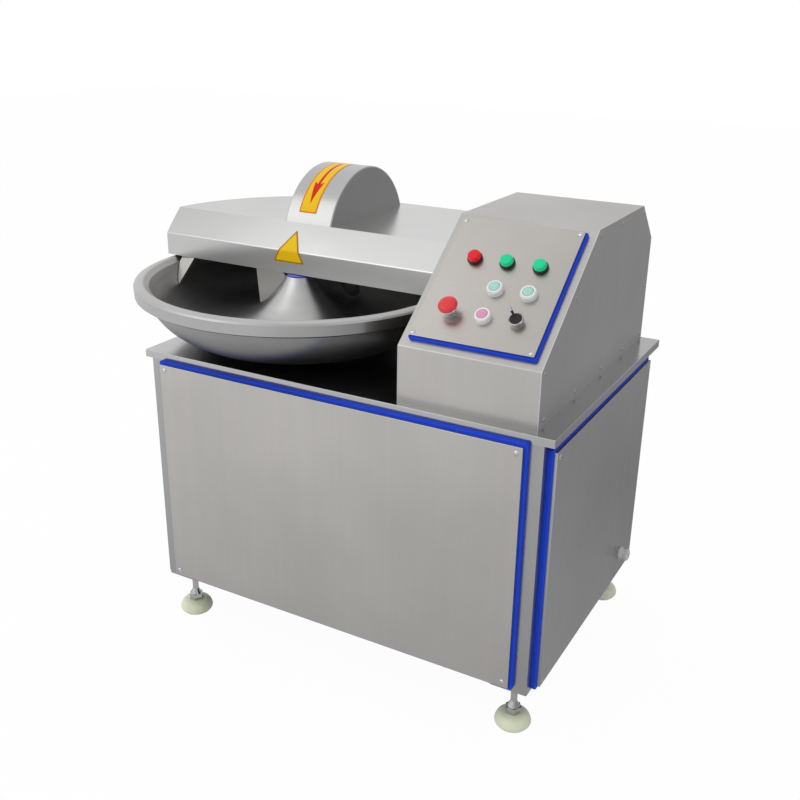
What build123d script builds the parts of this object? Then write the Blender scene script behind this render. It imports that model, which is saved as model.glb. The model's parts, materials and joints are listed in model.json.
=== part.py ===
"""Meat bowl cutter, 40 litre class: rotating bowl, three knives under a hinged hood, cabinet and console."""

from build123d import *
from math import atan2, cos, hypot, radians, sin, sqrt, tan
import os

os.makedirs("parts", exist_ok=True)

# ---------------------------------------------------------------- driving dimensions (mm)
# Origin on the floor under the middle of the worktop. +X right, +Y back, +Z up.
running_gap = 0.3            # between curved faces of parts that move on each other
fit_gap = 0.05               # a pin or shaft in its own bore
hole_clearance = 0.2         # a screw in its hole, on the radius

worktop_width = 1000.0
worktop_depth = 694.0
worktop_height = 700.0
worktop_sheet = 3.0
worktop_apron = 17.0         # depth of the folded edge

cabinet_overhang = 21.0      # worktop past the frame at both sides and the back
cabinet_bottom = 114.0
frame_angle = 50.0           # leg of the angle steel
frame_angle_wall = 4.0
foot_plate_side = 84.0
foot_plate_thickness = 8.0
foot_inset = 42.0            # stem from the frame's outer faces

panel_sheet = 1.5
panel_return = 7.0           # folded edge of a panel
seal_depth = 11.0
seal_lip = 7.0               # seal past the panel's outline
seal_width = 22.0
front_panel_side_margin = 35.5   # front and back panels from the frame's sides
front_panel_top_drop = 22.0      # below the worktop's surface
front_panel_bottom_rise = 17.0   # above the frame's lower edge
side_panel_end_margin = 28.5
side_panel_top_drop = 37.0
side_panel_bottom_rise = 11.0
panel_screw_inset = 13.0
gland_rise = 57.0            # above the right panel's lower edge
gland_from_rear = 93.5       # from its rear edge

screw_head_radius = 5.5
screw_head_height = 3.2
screw_radius = 3.0

foot_pad_radius = 40.0
foot_pad_height = 31.0
foot_stem_radius = 7.5
foot_hex = 30.0              # across flats

machine_plate_margin = 45.0

bowl_inset_x = 250.0         # bowl axis from the worktop's left and front edges
bowl_inset_y = 267.0
bowl_rim_height = 152.0      # crest above the worktop
bowl_rim_radius = 366.0
bowl_flange_radius = 380.0
bowl_flange_depth = 30.0
bowl_lip_radius = 346.0
bowl_base_radius = 209.0
bowl_base_gap = 9.0
foot_ring_width = 22.0       # ring the bowl's base shows below
trough_radius = 157.5        # round the knife shaft
trough_centre_radius = 201.5
trough_bottom_wall = 8.0
cone_top_radius = 31.0
cone_top_height = 150.0
bowl_cap_height = 3.6
cap_knob_radius = 12.5
cap_knob_height = 16.0

knife_shaft_height = 205.0   # above the worktop
knife_tip_radius = 153.5
knife_thickness = 5.0
knife_pitch = 24.0
knife_count = 3
knife_ring_radius = 36.0
knife_shaft_radius = 20.0
shaft_shoulder_radius = 23.0
sleeve_radius = 44.0
sleeve_start = 68.0          # right of the bowl's axis
knife_pulley_radius = 62.0
motor_pulley_radius = 93.0
pulley_width = 52.0
pulley_rim_gap = 24.0        # knife pulley from the bearing pedestal
belt_count = 3
belt_pitch = 15.0
belt_half_top = 6.5
belt_depth = 10.0
belt_flank_slope = 0.25
groove_gap = 0.4

hood_side_gap = 6.0          # hood past the bowl's rim
hood_sheet = 2.0
hood_front_setback = 17.0    # front wall, ahead of the bowl's axis
hood_rim_gap = 3.0
hood_cap_gap = 1.4
hood_fold_radius = 5.0
hood_front_height = 53.0
hood_height = 109.0
hood_chamfer_run = 53.0
hood_console_gap = 4.0
guard_half_width = 64.0
guard_radius = 175.5
hinge_drop = 10.0            # hinge axis above the hood's lower edge
hinge_offset = 15.0          # behind the hood's rear wall
hinge_pin_radius = 5.0
hinge_ear_radius = 11.0
hinge_ear_width = 12.0
hinge_cheek_width = 9.0
hinge_insets = (300.0, 600.0)

scraper_gap = 2.0
scraper_sheet = 3.0

console_inset = 647.0        # left wall from the worktop's left edge
console_width = 306.5
console_front_inset = 28.0
console_front_height = 116.0
console_slope_end = 300.5
console_height = 333.0
console_top_end = 602.5
console_back_height = 244.0
console_back_inset = 1.0
console_sheet = 2.0
console_flange = 24.0
console_foot_flange = 14.0
console_fold_radius = 4.0

plate_width = 267.0
plate_height = 308.0
plate_sheet = 2.0
plate_return = 5.0
plate_seal_depth = 7.0
plate_lower_edge = 22.5      # up the slope
plate_screw_inset = 8.0
device_pitch_x = 71.0
device_pitch_y = 68.0
device_middle_up = 158.0     # middle row, up the slope from its foot
device_middle_right = 155.0  # middle column, from the console's left wall

device_hole = 9.0            # radius through the plate and the slope
barrel_length = 26.0         # below the plate's face
barrel_gap = 0.5
button_travel = 3.0
button_radius = 10.5
bezel_radius = 17.0
bezel_height = 13.0
lamp_radius = 14.0
lamp_base_radius = 16.0
lamp_base_height = 6.5
lamp_seat = 3.0
lamp_height = 16.5
cup_radius = 15.0            # chrome cups of the emergency stop and the selector
cup_foot_radius = 10.5
cup_height = 15.5
estop_head_radius = 20.0
estop_stem_radius = 8.0
estop_head_height = 13.0
estop_travel = 4.0
selector_disc_radius = 12.5
selector_disc_seat = 9.0
selector_turn = 45.0         # lever, left of straight up
selector_lever_tilt = 35.0   # lever, off the disc
selector_lever_radius = 2.6
selector_lever_length = 26.0

# ---------------------------------------------------------------- places worked out from them
left = -worktop_width / 2
front = -worktop_depth / 2
back = worktop_depth / 2
cabinet_left = left + cabinet_overhang
cabinet_right = -cabinet_left
cabinet_front = front
cabinet_back = back - cabinet_overhang
frame_top = worktop_height - worktop_apron
cabinet_mid_y = (cabinet_front + cabinet_back) / 2
front_panel_width = cabinet_right - cabinet_left - 2 * front_panel_side_margin
front_panel_height = worktop_height - front_panel_top_drop - cabinet_bottom - front_panel_bottom_rise
side_panel_width = cabinet_back - cabinet_front - 2 * side_panel_end_margin
side_panel_height = worktop_height - side_panel_top_drop - cabinet_bottom - side_panel_bottom_rise

bowl_x = left + bowl_inset_x
bowl_y = front + bowl_inset_y
bowl_axis = Axis((bowl_x, bowl_y, 0), (0, 0, 1))
bowl_plane = Plane(origin=(bowl_x, bowl_y, worktop_height), x_dir=(1, 0, 0), z_dir=(0, -1, 0))

shaft_y = bowl_y + trough_centre_radius
shaft_z = worktop_height + knife_shaft_height
shaft_axis = Axis((0, shaft_y, shaft_z), (1, 0, 0))
shaft_plane = Plane(origin=(0, shaft_y, shaft_z), x_dir=(1, 0, 0), z_dir=(0, -1, 0))

console_left = left + console_inset
console_right = console_left + console_width
console_front = front + console_front_inset

hood_bottom = worktop_height + max(bowl_rim_height + hood_rim_gap,
                                   cone_top_height + bowl_cap_height + hood_cap_gap)
hood_top = hood_bottom + hood_height
hood_radius = bowl_flange_radius + hood_side_gap
hood_front = bowl_y - hood_front_setback
hood_back = bowl_y + hood_radius
hood_right = console_left - hood_console_gap
hinge_y = hood_back + hinge_offset
hinge_z = hood_bottom + hinge_drop


def face(plane, points):
    """A straight-sided face on a plane."""
    with BuildSketch(plane) as sketch:
        with BuildLine():
            Polyline(*points, close=True)
        make_face()
    return sketch.sketch


def ring_face(plane, near, far, inner, outer):
    """The half section of a plain ring that lies along the plane's first axis."""
    return face(plane, [(near, inner), (far, inner), (far, outer), (near, outer)])


def finish(part_builder, name):
    part_builder.part.label = name
    export_step(part_builder.part, f"parts/{name}.step")


# ---------------------------------------------------------------- cabinet frame
front_plane = Plane(
    origin=(0, cabinet_front, worktop_height - front_panel_top_drop - front_panel_height / 2),
    x_dir=(1, 0, 0), z_dir=(0, -1, 0))
side_panel_z = worktop_height - side_panel_top_drop - side_panel_height / 2
right_plane = Plane(origin=(cabinet_right, cabinet_mid_y, side_panel_z), x_dir=(0, 1, 0), z_dir=(1, 0, 0))
left_plane = Plane(origin=(cabinet_left, cabinet_mid_y, side_panel_z), x_dir=(0, -1, 0), z_dir=(-1, 0, 0))
back_plane = Plane(origin=(0, cabinet_back, front_plane.origin.Z), x_dir=(-1, 0, 0), z_dir=(0, 1, 0))
panel_proud = seal_depth + panel_return


def corner_seats(plane, width, height):
    """Screw seats near the four corners of a panel, on its outer face."""
    outer = plane.offset(panel_proud)
    across = width / 2 - panel_screw_inset
    up = height / 2 - panel_screw_inset
    return [outer.location * Location((sx * across, sy * up, 0)) for sx in (-1, 1) for sy in (-1, 1)]


panel_sides = {
    "front": (front_plane, front_panel_width, front_panel_height),
    "right": (right_plane, side_panel_width, side_panel_height),
    "left": (left_plane, side_panel_width, side_panel_height),
    "back": (back_plane, front_panel_width, front_panel_height),
}
panel_seats = [seat for side in panel_sides.values() for seat in corner_seats(*side)]
screw_length = panel_proud + frame_angle_wall + screw_radius
post_bottom = cabinet_bottom + foot_plate_thickness


def screw_holes(seats, reach):
    with Locations(*seats):
        Cylinder(screw_radius + hole_clearance, reach * 2, mode=Mode.SUBTRACT)


def angle_points(corner, along_u, along_v):
    """An equal-leg angle section from its outer corner, with legs towards the two signs given."""
    steps = [(0, 0), (frame_angle, 0), (frame_angle, frame_angle_wall),
             (frame_angle_wall, frame_angle_wall), (frame_angle_wall, frame_angle), (0, frame_angle)]
    return [(corner[0] + along_u * u, corner[1] + along_v * v) for u, v in steps]


frame_sides_x = ((cabinet_left, 1), (cabinet_right, -1))
frame_sides_y = ((cabinet_front, 1), (cabinet_back, -1))

with BuildPart() as corner_posts:
    for post_x, inward_x in frame_sides_x:
        for post_y, inward_y in frame_sides_y:
            post_section = angle_points((post_x, post_y), inward_x, inward_y)
            extrude(face(Plane.XY.offset(post_bottom), post_section), amount=frame_top - post_bottom)
    screw_holes(panel_seats, screw_length + 1)
finish(corner_posts, "corner_posts")

rail_length_x = cabinet_right - cabinet_left - 2 * frame_angle
rail_length_y = cabinet_back - cabinet_front - 2 * frame_angle
lower_rail_top = post_bottom + frame_angle

with BuildPart() as frame_rails:
    for rail_top in (lower_rail_top, frame_top):
        for rail_y, inward in frame_sides_y:
            long_section = angle_points((rail_y, rail_top), inward, -1)
            extrude(face(Plane.YZ.offset(cabinet_left + frame_angle), long_section), amount=rail_length_x)
        for rail_x, inward in frame_sides_x:
            short_plane = Plane(origin=(0, cabinet_back - frame_angle, 0), x_dir=(1, 0, 0), z_dir=(0, -1, 0))
            extrude(face(short_plane, angle_points((rail_x, rail_top), inward, -1)), amount=rail_length_y)
    screw_holes(panel_seats, screw_length + 1)
finish(frame_rails, "frame_rails")

foot_spots = [(x, y) for x in (cabinet_left + foot_inset, cabinet_right - foot_inset)
              for y in (cabinet_front + foot_inset, cabinet_back - foot_inset)]

with BuildPart() as foot_plates:
    with BuildSketch(Plane.XY.offset(cabinet_bottom)):
        with Locations(*foot_spots):
            RectangleRounded(foot_plate_side, foot_plate_side, 4)
            Circle(foot_stem_radius + fit_gap, mode=Mode.SUBTRACT)
    extrude(amount=foot_plate_thickness)
finish(foot_plates, "foot_plates")

# ---------------------------------------------------------------- levelling feet
stem_rise = 25.0             # of the stem above its plate
stem_top = post_bottom + stem_rise
socket_depth = 8.0
socket_radius = 13.0
hex_height = 15.0
hex_bottom = foot_pad_height + 1.0
cone_height = 13.0
locknut_hex = 24.0
locknut_height = 10.0
pad_edge_height = 4.0

with BuildPart() as foot_pads:
    with BuildSketch(Plane.XZ) as pad_profile:
        with BuildLine():
            pad_foot = Line((0, 0), (foot_pad_radius - 3, 0))
            pad_edge = Line(pad_foot @ 1, (foot_pad_radius, pad_edge_height))
            pad_dome = ThreePointArc(pad_edge @ 1, (0.8 * foot_pad_radius, 0.6 * foot_pad_height),
                                     (foot_pad_radius / 2, foot_pad_height))
            Polyline(pad_dome @ 1, (socket_radius + running_gap, foot_pad_height),
                     (socket_radius + running_gap, foot_pad_height - socket_depth),
                     (0, foot_pad_height - socket_depth), (0, 0))
        make_face()
    with Locations(*foot_spots):
        add(revolve(pad_profile.sketch, axis=Axis.Z, mode=Mode.PRIVATE))
finish(foot_pads, "foot_pads")

spigot_foot = foot_pad_height - socket_depth + running_gap
neck = hex_bottom + hex_height
with BuildPart() as one_stem:
    with BuildSketch(Plane.XY.offset(hex_bottom)):
        RegularPolygon(foot_hex / 2, 6, major_radius=False)
    extrude(amount=hex_height)
    stem_section = face(Plane.XZ, [
        (0, spigot_foot), (socket_radius, spigot_foot), (socket_radius, neck), (foot_hex / 2 - 1, neck),
        (foot_stem_radius, neck + cone_height), (foot_stem_radius, stem_top - 1.5),
        (foot_stem_radius - 1.5, stem_top), (0, stem_top)])
    revolve(stem_section, axis=Axis.Z)

with BuildPart() as foot_stems:
    with Locations(*foot_spots):
        add(one_stem.part)
finish(foot_stems, "foot_stems")

with BuildPart() as foot_locknuts:
    with BuildSketch(Plane.XY.offset(post_bottom)):
        with Locations(*foot_spots):
            RegularPolygon(locknut_hex / 2, 6, major_radius=False)
            Circle(foot_stem_radius + fit_gap, mode=Mode.SUBTRACT)
    extrude(amount=locknut_height)
finish(foot_locknuts, "foot_locknuts")

# ---------------------------------------------------------------- cabinet panels
def panel_tray(plane, width, height):
    """A folded sheet panel, open at its back, standing off the frame by the seal's depth."""
    with BuildPart() as tray:
        with BuildSketch(plane.offset(seal_depth)):
            RectangleRounded(width, height, 2)
        extrude(amount=panel_return)
        fillet(tray.faces().sort_by(Axis(plane.origin, plane.z_dir))[-1].edges(), panel_sheet * 0.8)
        with BuildSketch(plane.offset(seal_depth)):
            Rectangle(width - 2 * panel_sheet, height - 2 * panel_sheet)
        extrude(amount=panel_return - panel_sheet, mode=Mode.SUBTRACT)
        screw_holes(corner_seats(plane, width, height), screw_length)
    return tray.part


def panel_seal_ring(plane, width, height):
    with BuildPart() as ring:
        with BuildSketch(plane):
            RectangleRounded(width + 2 * seal_lip, height + 2 * seal_lip, 6)
            inner_trim = 2 * (seal_width - seal_lip)
            RectangleRounded(width - inner_trim, height - inner_trim, 4, mode=Mode.SUBTRACT)
        extrude(amount=seal_depth)
        screw_holes(corner_seats(plane, width, height), screw_length)
        lip_edges = ring.faces().sort_by(Axis(plane.origin, plane.z_dir))[-1].outer_wire().edges()
        fillet(lip_edges, seal_lip / 3)
    return ring.part


with BuildPart() as front_panel:
    add(panel_tray(*panel_sides["front"]))
finish(front_panel, "front_panel")

with BuildPart() as left_panel:
    add(panel_tray(*panel_sides["left"]))
finish(left_panel, "left_panel")

# Air louvres for the motors, low in the back panel.
louvre_length = 180.0
louvre_pitch = 16.0
louvre_count = 8
louvre_slot = 5.0
louvre_drop = 120.0
with BuildPart() as back_panel:
    add(panel_tray(*panel_sides["back"]))
    with BuildSketch(back_plane.offset(seal_depth)):
        with Locations((-front_panel_width / 4, -louvre_drop), (front_panel_width / 4, -louvre_drop)):
            with GridLocations(0, louvre_pitch, 1, louvre_count):
                SlotOverall(louvre_length, louvre_slot)
    extrude(amount=panel_return, mode=Mode.SUBTRACT)
finish(back_panel, "back_panel")

# Cable gland low at the rear of the right panel.
gland_y = cabinet_mid_y + side_panel_width / 2 - gland_from_rear
gland_z = side_panel_z - side_panel_height / 2 + gland_rise
gland_bore = 10.0
gland_cord_radius = 5.5
gland_tail = 8.0             # thread behind the panel
gland_hex = 14.0             # half across flats of its body
gland_hex_width = 6.0
gland_neck_radius = 11.5
gland_neck_width = 8.0
gland_nut = 12.5
gland_nut_width = 9.0
gland_through = 118.0
gland_plane = Plane(origin=(cabinet_right + panel_proud, gland_y, gland_z), x_dir=(0, 1, 0), z_dir=(1, 0, 0))
with BuildPart() as right_panel:
    add(panel_tray(*panel_sides["right"]))
    with Locations(gland_plane.location):
        Cylinder(gland_bore + hole_clearance, 2 * panel_return, mode=Mode.SUBTRACT)
finish(right_panel, "right_panel")

with BuildPart() as panel_seals:
    for side in panel_sides.values():
        add(panel_seal_ring(*side))
finish(panel_seals, "panel_seals")

with BuildPart() as one_screw:
    Cylinder(screw_head_radius, screw_head_height, align=(Align.CENTER, Align.CENTER, Align.MIN))
    fillet(one_screw.faces().sort_by(Axis.Z)[-1].edges(), screw_head_height / 2)
    Cylinder(screw_radius, screw_length, align=(Align.CENTER, Align.CENTER, Align.MAX))

with BuildPart() as panel_screws:
    with Locations(*panel_seats):
        add(one_screw.part)
finish(panel_screws, "panel_screws")

with BuildPart() as cable_gland:
    with BuildSketch(gland_plane.offset(-panel_sheet - gland_tail)):
        Circle(gland_bore)
    extrude(amount=panel_sheet + gland_tail)
    with BuildSketch(gland_plane):
        RegularPolygon(gland_hex, 6, major_radius=False)
    extrude(amount=gland_hex_width)
    with BuildSketch(gland_plane.offset(gland_hex_width)):
        Circle(gland_neck_radius)
    extrude(amount=gland_neck_width)
    with BuildSketch(gland_plane.offset(gland_hex_width + gland_neck_width)):
        RegularPolygon(gland_nut, 6, major_radius=False)
    extrude(amount=gland_nut_width)
    fillet(cable_gland.faces().sort_by(Axis.X)[-1].edges(), gland_nut / 5)
    with Locations(gland_plane.location):
        Cylinder(gland_cord_radius, gland_through, mode=Mode.SUBTRACT)
finish(cable_gland, "cable_gland")

# ---------------------------------------------------------------- worktop and machine plate
housing_radius = 62.0
belt_slot_gap = 12.0
pedestal_width = 140.0
pedestal_start = console_left + 16.0
pedestal_end = pedestal_start + pedestal_width
pulley_start = pedestal_end + pulley_rim_gap
pulley_end = pulley_start + pulley_width
pulley_middle = (pulley_start + pulley_end) / 2
belt_slot_width = pulley_width + 2 * belt_slot_gap
belt_slot_length = 2 * (motor_pulley_radius + belt_slot_gap)


opening_reach = 100.0        # cuts right through the sheet and the plate


def plate_openings(reach):
    """The bowl bearing's hole and the belt slot, cut through the part being built."""
    with Locations((bowl_x, bowl_y, worktop_height)):
        Cylinder(housing_radius + running_gap, reach, mode=Mode.SUBTRACT)
    with Locations((pulley_middle, shaft_y, worktop_height)):
        Box(belt_slot_width, belt_slot_length, reach, mode=Mode.SUBTRACT)


with BuildPart() as worktop:
    with BuildSketch(Plane.XY.offset(worktop_height - worktop_apron)):
        RectangleRounded(worktop_width, worktop_depth, 2)
    extrude(amount=worktop_apron)
    fillet(worktop.faces().sort_by(Axis.Z)[-1].edges(), 1.5)
    with BuildSketch(Plane.XY.offset(worktop_height - worktop_apron)):
        Rectangle(worktop_width - 2 * worktop_sheet, worktop_depth - 2 * worktop_sheet)
    extrude(amount=worktop_apron - worktop_sheet, mode=Mode.SUBTRACT)
    plate_openings(opening_reach)
finish(worktop, "worktop")

machine_plate_width = worktop_width - 2 * machine_plate_margin
machine_plate_depth = worktop_depth - 2 * machine_plate_margin
with BuildPart() as machine_plate:
    with BuildSketch(Plane.XY.offset(frame_top)):
        RectangleRounded(machine_plate_width, machine_plate_depth, 5)
    extrude(amount=worktop_apron - worktop_sheet)
    plate_openings(opening_reach)
finish(machine_plate, "machine_plate")

# ---------------------------------------------------------------- bowl and its drive
bearing_width = 18.0
bowl_bearing_outer = 40.0
spindle_radius = 20.0
spindle_flange_radius = 34.0
spindle_flange_top = 44.0
spindle_drop = 62.0          # below its bearing housing, into the gearbox
flange_bolt_radius = 4.5
flange_bolt_inset = 11.0
housing_flange_radius = 84.0
housing_flange_thickness = 12.0
housing_top = 34.0
housing_bottom = -110.0
bearing_levels = (housing_top - 4.0 - bearing_width, housing_bottom + 10.0)
boss_radius = 52.0
trough_bottom = knife_shaft_height - trough_radius
# The cone falls from its top to the trough's bottom: shares of its run and of its fall.
cone_shares = ((0.2, 0.439), (0.434, 0.79), (0.698, 0.946))
cone_run = trough_centre_radius - cone_top_radius
cone_fall = cone_top_height - trough_bottom
cone_profile = [(cone_top_radius, cone_top_height)] + [
    (cone_top_radius + along * cone_run, cone_top_height - down * cone_fall) for along, down in cone_shares]
cone_start = (0.45, -1)      # direction of the wall at the cone's top
cone_wall = 17.0
rim_drop = 10.0              # from the crest down to the edge of the trough
lip_bottom = bowl_rim_height - rim_drop
lip_slope_run = 10.0         # flat lip between the trough's edge and the rim's bend
flank_end_radius = bowl_lip_radius - lip_slope_run
flank_middle_angle = radians(-50)
# The belly rises from the base to the flange: shares of the way out and up.
belly_shares = ((0.883, 0.578), (0.577, 0.239), (0.255, 0.055))
belly_start = (-0.45, -1)
belly_end = (-1, -0.12)
rim_bend = 2.0
flange_foot = bowl_rim_height - 2 * rim_bend - bowl_flange_depth


def trough_point(radius):
    """A point of the trough's outer flank, a circle about the knife shaft."""
    return (radius, knife_shaft_height - sqrt(trough_radius ** 2 - (radius - trough_centre_radius) ** 2))


def bowl_inside(inset):
    """The half section of the space inside the bowl, drawn back from its wall by the inset."""
    arc_radius = trough_radius - inset
    top = bowl_rim_height + hood_height
    wall_top = (flank_end_radius - inset, trough_point(flank_end_radius)[1])
    with BuildSketch(bowl_plane) as sketch:
        with BuildLine():
            cone = Spline(*[(r + inset, z + inset) for r, z in cone_profile],
                          (trough_centre_radius, trough_bottom + inset), tangents=[cone_start, (1, 0)])
            flank = ThreePointArc(
                cone @ 1,
                (trough_centre_radius + arc_radius * cos(flank_middle_angle),
                 knife_shaft_height + arc_radius * sin(flank_middle_angle)),
                wall_top)
            Polyline(flank @ 1, (bowl_lip_radius - inset, lip_bottom), (bowl_lip_radius - inset, top),
                     (0, top), (0, cone_top_height + inset), cone @ 0)
        make_face()
    return sketch.sketch


with BuildPart() as bowl:
    with BuildSketch(bowl_plane):
        with BuildLine():
            cone = Spline(*cone_profile, (trough_centre_radius, trough_bottom), tangents=[cone_start, (1, 0)])
            flank_middle = (trough_centre_radius + trough_radius * cos(flank_middle_angle),
                            knife_shaft_height + trough_radius * sin(flank_middle_angle))
            flank = ThreePointArc(cone @ 1, flank_middle, trough_point(flank_end_radius))
            lip = Polyline(flank @ 1, (bowl_lip_radius, lip_bottom),
                           (bowl_rim_radius - 4 * rim_bend, bowl_rim_height - 0.75 * rim_bend))
            crest = ThreePointArc(lip @ 1, (bowl_rim_radius, bowl_rim_height),
                                  (bowl_flange_radius - rim_bend, bowl_rim_height - 2 * rim_bend))
            flange = Polyline(crest @ 1, (bowl_flange_radius, bowl_rim_height - 4 * rim_bend),
                              (bowl_flange_radius - rim_bend / 2, flange_foot + 1.5 * rim_bend),
                              (bowl_flange_radius - 2.5 * rim_bend, flange_foot),
                              (bowl_lip_radius + 3 * rim_bend, flange_foot - 4 * rim_bend))
            belly_run = bowl_lip_radius - bowl_base_radius
            belly_rise = flange_foot - bowl_base_gap
            belly_profile = [(bowl_base_radius + out * belly_run, bowl_base_gap + up * belly_rise)
                             for out, up in belly_shares]
            belly = Spline(flange @ 1, *belly_profile, (bowl_base_radius + 1.5 * rim_bend, bowl_base_gap),
                           tangents=[belly_start, belly_end])
            recess_top = trough_bottom - trough_bottom_wall
            recess_foot = bowl_base_radius - foot_ring_width
            recess_rise = recess_top - bowl_base_gap
            Polyline(belly @ 1, (recess_foot, bowl_base_gap),
                     (recess_foot - 0.4 * recess_rise, recess_top - rim_bend),
                     (cone_profile[3][0], recess_top),
                     (cone_profile[2][0], cone_profile[2][1] - cone_wall),
                     (boss_radius + cone_wall / 2, cone_profile[1][1] - 1.25 * cone_wall),
                     (boss_radius, cone_profile[1][1] - 1.5 * cone_wall), (boss_radius, spindle_flange_top),
                     (spindle_radius + fit_gap, spindle_flange_top),
                     (spindle_radius + fit_gap, cone_top_height),
                     (cone_top_radius, cone_top_height))
        make_face()
    revolve(axis=bowl_axis)
finish(bowl, "bowl")

with BuildPart() as bowl_spindle:
    spindle_bottom = housing_bottom - spindle_drop
    with BuildSketch(bowl_plane):
        with BuildLine():
            Polyline((0, spindle_bottom), (spindle_radius - 1, spindle_bottom),
                     (spindle_radius - 1, housing_bottom - 4), (spindle_radius, housing_bottom - 4),
                     (spindle_radius, housing_top + 2), (spindle_flange_radius, housing_top + 2),
                     (spindle_flange_radius, spindle_flange_top), (spindle_radius, spindle_flange_top),
                     (spindle_radius, cone_top_height - 1), (0, cone_top_height - 1), close=True)
        make_face()
    revolve(axis=bowl_axis)
finish(bowl_spindle, "bowl_spindle")

with BuildPart() as bowl_cap:
    with BuildSketch(bowl_plane):
        with BuildLine():
            Polyline((0, cone_top_height), (cone_top_radius - 1, cone_top_height),
                     (cone_top_radius - 1, cone_top_height + bowl_cap_height / 2),
                     (cone_top_radius - 3, cone_top_height + bowl_cap_height),
                     (cap_knob_radius, cone_top_height + bowl_cap_height),
                     (cap_knob_radius - 1.5, cone_top_height + cap_knob_height - 2),
                     (cap_knob_radius - 4.5, cone_top_height + cap_knob_height),
                     (0, cone_top_height + cap_knob_height), close=True)
        make_face()
    revolve(axis=bowl_axis)
finish(bowl_cap, "bowl_cap")

with BuildPart() as bowl_bearing_housing:
    housing_bore = spindle_radius + 6.0
    with BuildSketch(bowl_plane):
        with BuildLine():
            Polyline((housing_bore, housing_bottom), (housing_radius, housing_bottom), (housing_radius, 0),
                     (housing_flange_radius, 0), (housing_flange_radius, housing_flange_thickness),
                     (housing_radius, housing_flange_thickness), (bowl_bearing_outer + 8, housing_top),
                     (housing_bore, housing_top), close=True)
        make_face()
    revolve(axis=bowl_axis)
    for level in bearing_levels:
        with Locations((bowl_x, bowl_y, worktop_height + level + bearing_width / 2)):
            Cylinder(bowl_bearing_outer, bearing_width, mode=Mode.SUBTRACT)
    with Locations((bowl_x, bowl_y, worktop_height)):
        with PolarLocations(housing_flange_radius - flange_bolt_inset, 6):
            Cylinder(flange_bolt_radius, 2 * housing_flange_thickness + 1, mode=Mode.SUBTRACT)
finish(bowl_bearing_housing, "bowl_bearing_housing")

bearing_split = 4.0          # radial wall of a bearing's inner ring
with BuildPart() as bowl_bearing_inner_rings:
    for level in bearing_levels:
        inner_section = ring_face(bowl_plane, spindle_radius, spindle_radius + bearing_split,
                                  level, level + bearing_width)
        revolve(inner_section, axis=bowl_axis)
finish(bowl_bearing_inner_rings, "bowl_bearing_inner_rings")

# Worm gearbox under the housing, with its motor lying towards the right.
gearbox_height = 130.0
gearbox_top = worktop_height + housing_bottom
gearbox_width = 150.0
gearbox_depth = 170.0
bowl_motor_radius = 68.0
terminal_box_length = 80.0
terminal_box_width = 74.0
terminal_box_height = 44.0
gearbox_corner = 18.0
bowl_motor_length = 210.0
bowl_motor_z = gearbox_top - gearbox_height / 2
gearbox_face_x = bowl_x + gearbox_width / 2
bowl_motor_start = gearbox_face_x + 36.0
bowl_motor_axis = Axis((0, bowl_y, bowl_motor_z), (1, 0, 0))
bowl_motor_plane = Plane(origin=(0, bowl_y, bowl_motor_z), x_dir=(1, 0, 0), z_dir=(0, -1, 0))

with BuildPart() as bowl_gearbox:
    with BuildSketch(Plane.XY.offset(gearbox_top - gearbox_height)):
        with Locations((bowl_x, bowl_y)):
            RectangleRounded(gearbox_width, gearbox_depth, gearbox_corner)
    extrude(amount=gearbox_height)
    fillet(bowl_gearbox.faces().sort_by(Axis.Z)[0].edges(), gearbox_corner / 2)
    adapter = bowl_motor_start - gearbox_face_x
    motor_neck = [(gearbox_face_x - 5, 0), (gearbox_face_x - 5, 50), (gearbox_face_x + adapter / 3, 50),
                  (gearbox_face_x + adapter * 2 / 3, bowl_motor_radius + 8),
                  (bowl_motor_start, bowl_motor_radius + 8), (bowl_motor_start, 0)]
    revolve(face(bowl_motor_plane, motor_neck), axis=bowl_motor_axis)
    with Locations((bowl_x, bowl_y, gearbox_top)):
        Cylinder(spindle_radius + running_gap, 2 * (spindle_drop + 2), mode=Mode.SUBTRACT)
finish(bowl_gearbox, "bowl_gearbox")


fin_height = 10.0
fin_thickness = 2.5
cowl_share = 0.2             # of a motor's length
motor_flange_width = 10.0


def motor_casing(axis, plane, start, length, radius, fin_count):
    """A finned motor casing with a fan cowl at its far end, along +X."""
    core = radius - 0.8 * fin_height
    fin_start = start + 1.4 * motor_flange_width
    fin_end = start + length * (1 - cowl_share)
    with BuildPart() as casing:
        section = [(start, 0), (start, radius + 4),
                   (start + motor_flange_width, radius + 4), (fin_start, core),
                   (fin_end, core), (fin_end, radius + 2), (start + length - 8, radius + 2),
                   (start + length, core), (start + length, 0)]
        revolve(face(plane, section), axis=axis)
        fin_plane = Plane(origin=(fin_start, plane.origin.Y, plane.origin.Z), x_dir=(0, 1, 0), z_dir=(1, 0, 0))
        with BuildSketch(fin_plane):
            with PolarLocations(radius - fin_height / 2, fin_count):
                Rectangle(fin_height, fin_thickness)
        extrude(amount=fin_end - fin_start)
    return casing.part


with BuildPart() as bowl_motor:
    add(motor_casing(bowl_motor_axis, bowl_motor_plane, bowl_motor_start, bowl_motor_length,
                     bowl_motor_radius, 24))
    terminal_z = bowl_motor_z - bowl_motor_radius - 10
    with Locations((bowl_motor_start + bowl_motor_length / 2.6, bowl_y, terminal_z)):
        Box(terminal_box_length, terminal_box_width, terminal_box_height)
finish(bowl_motor, "bowl_motor")

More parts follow.
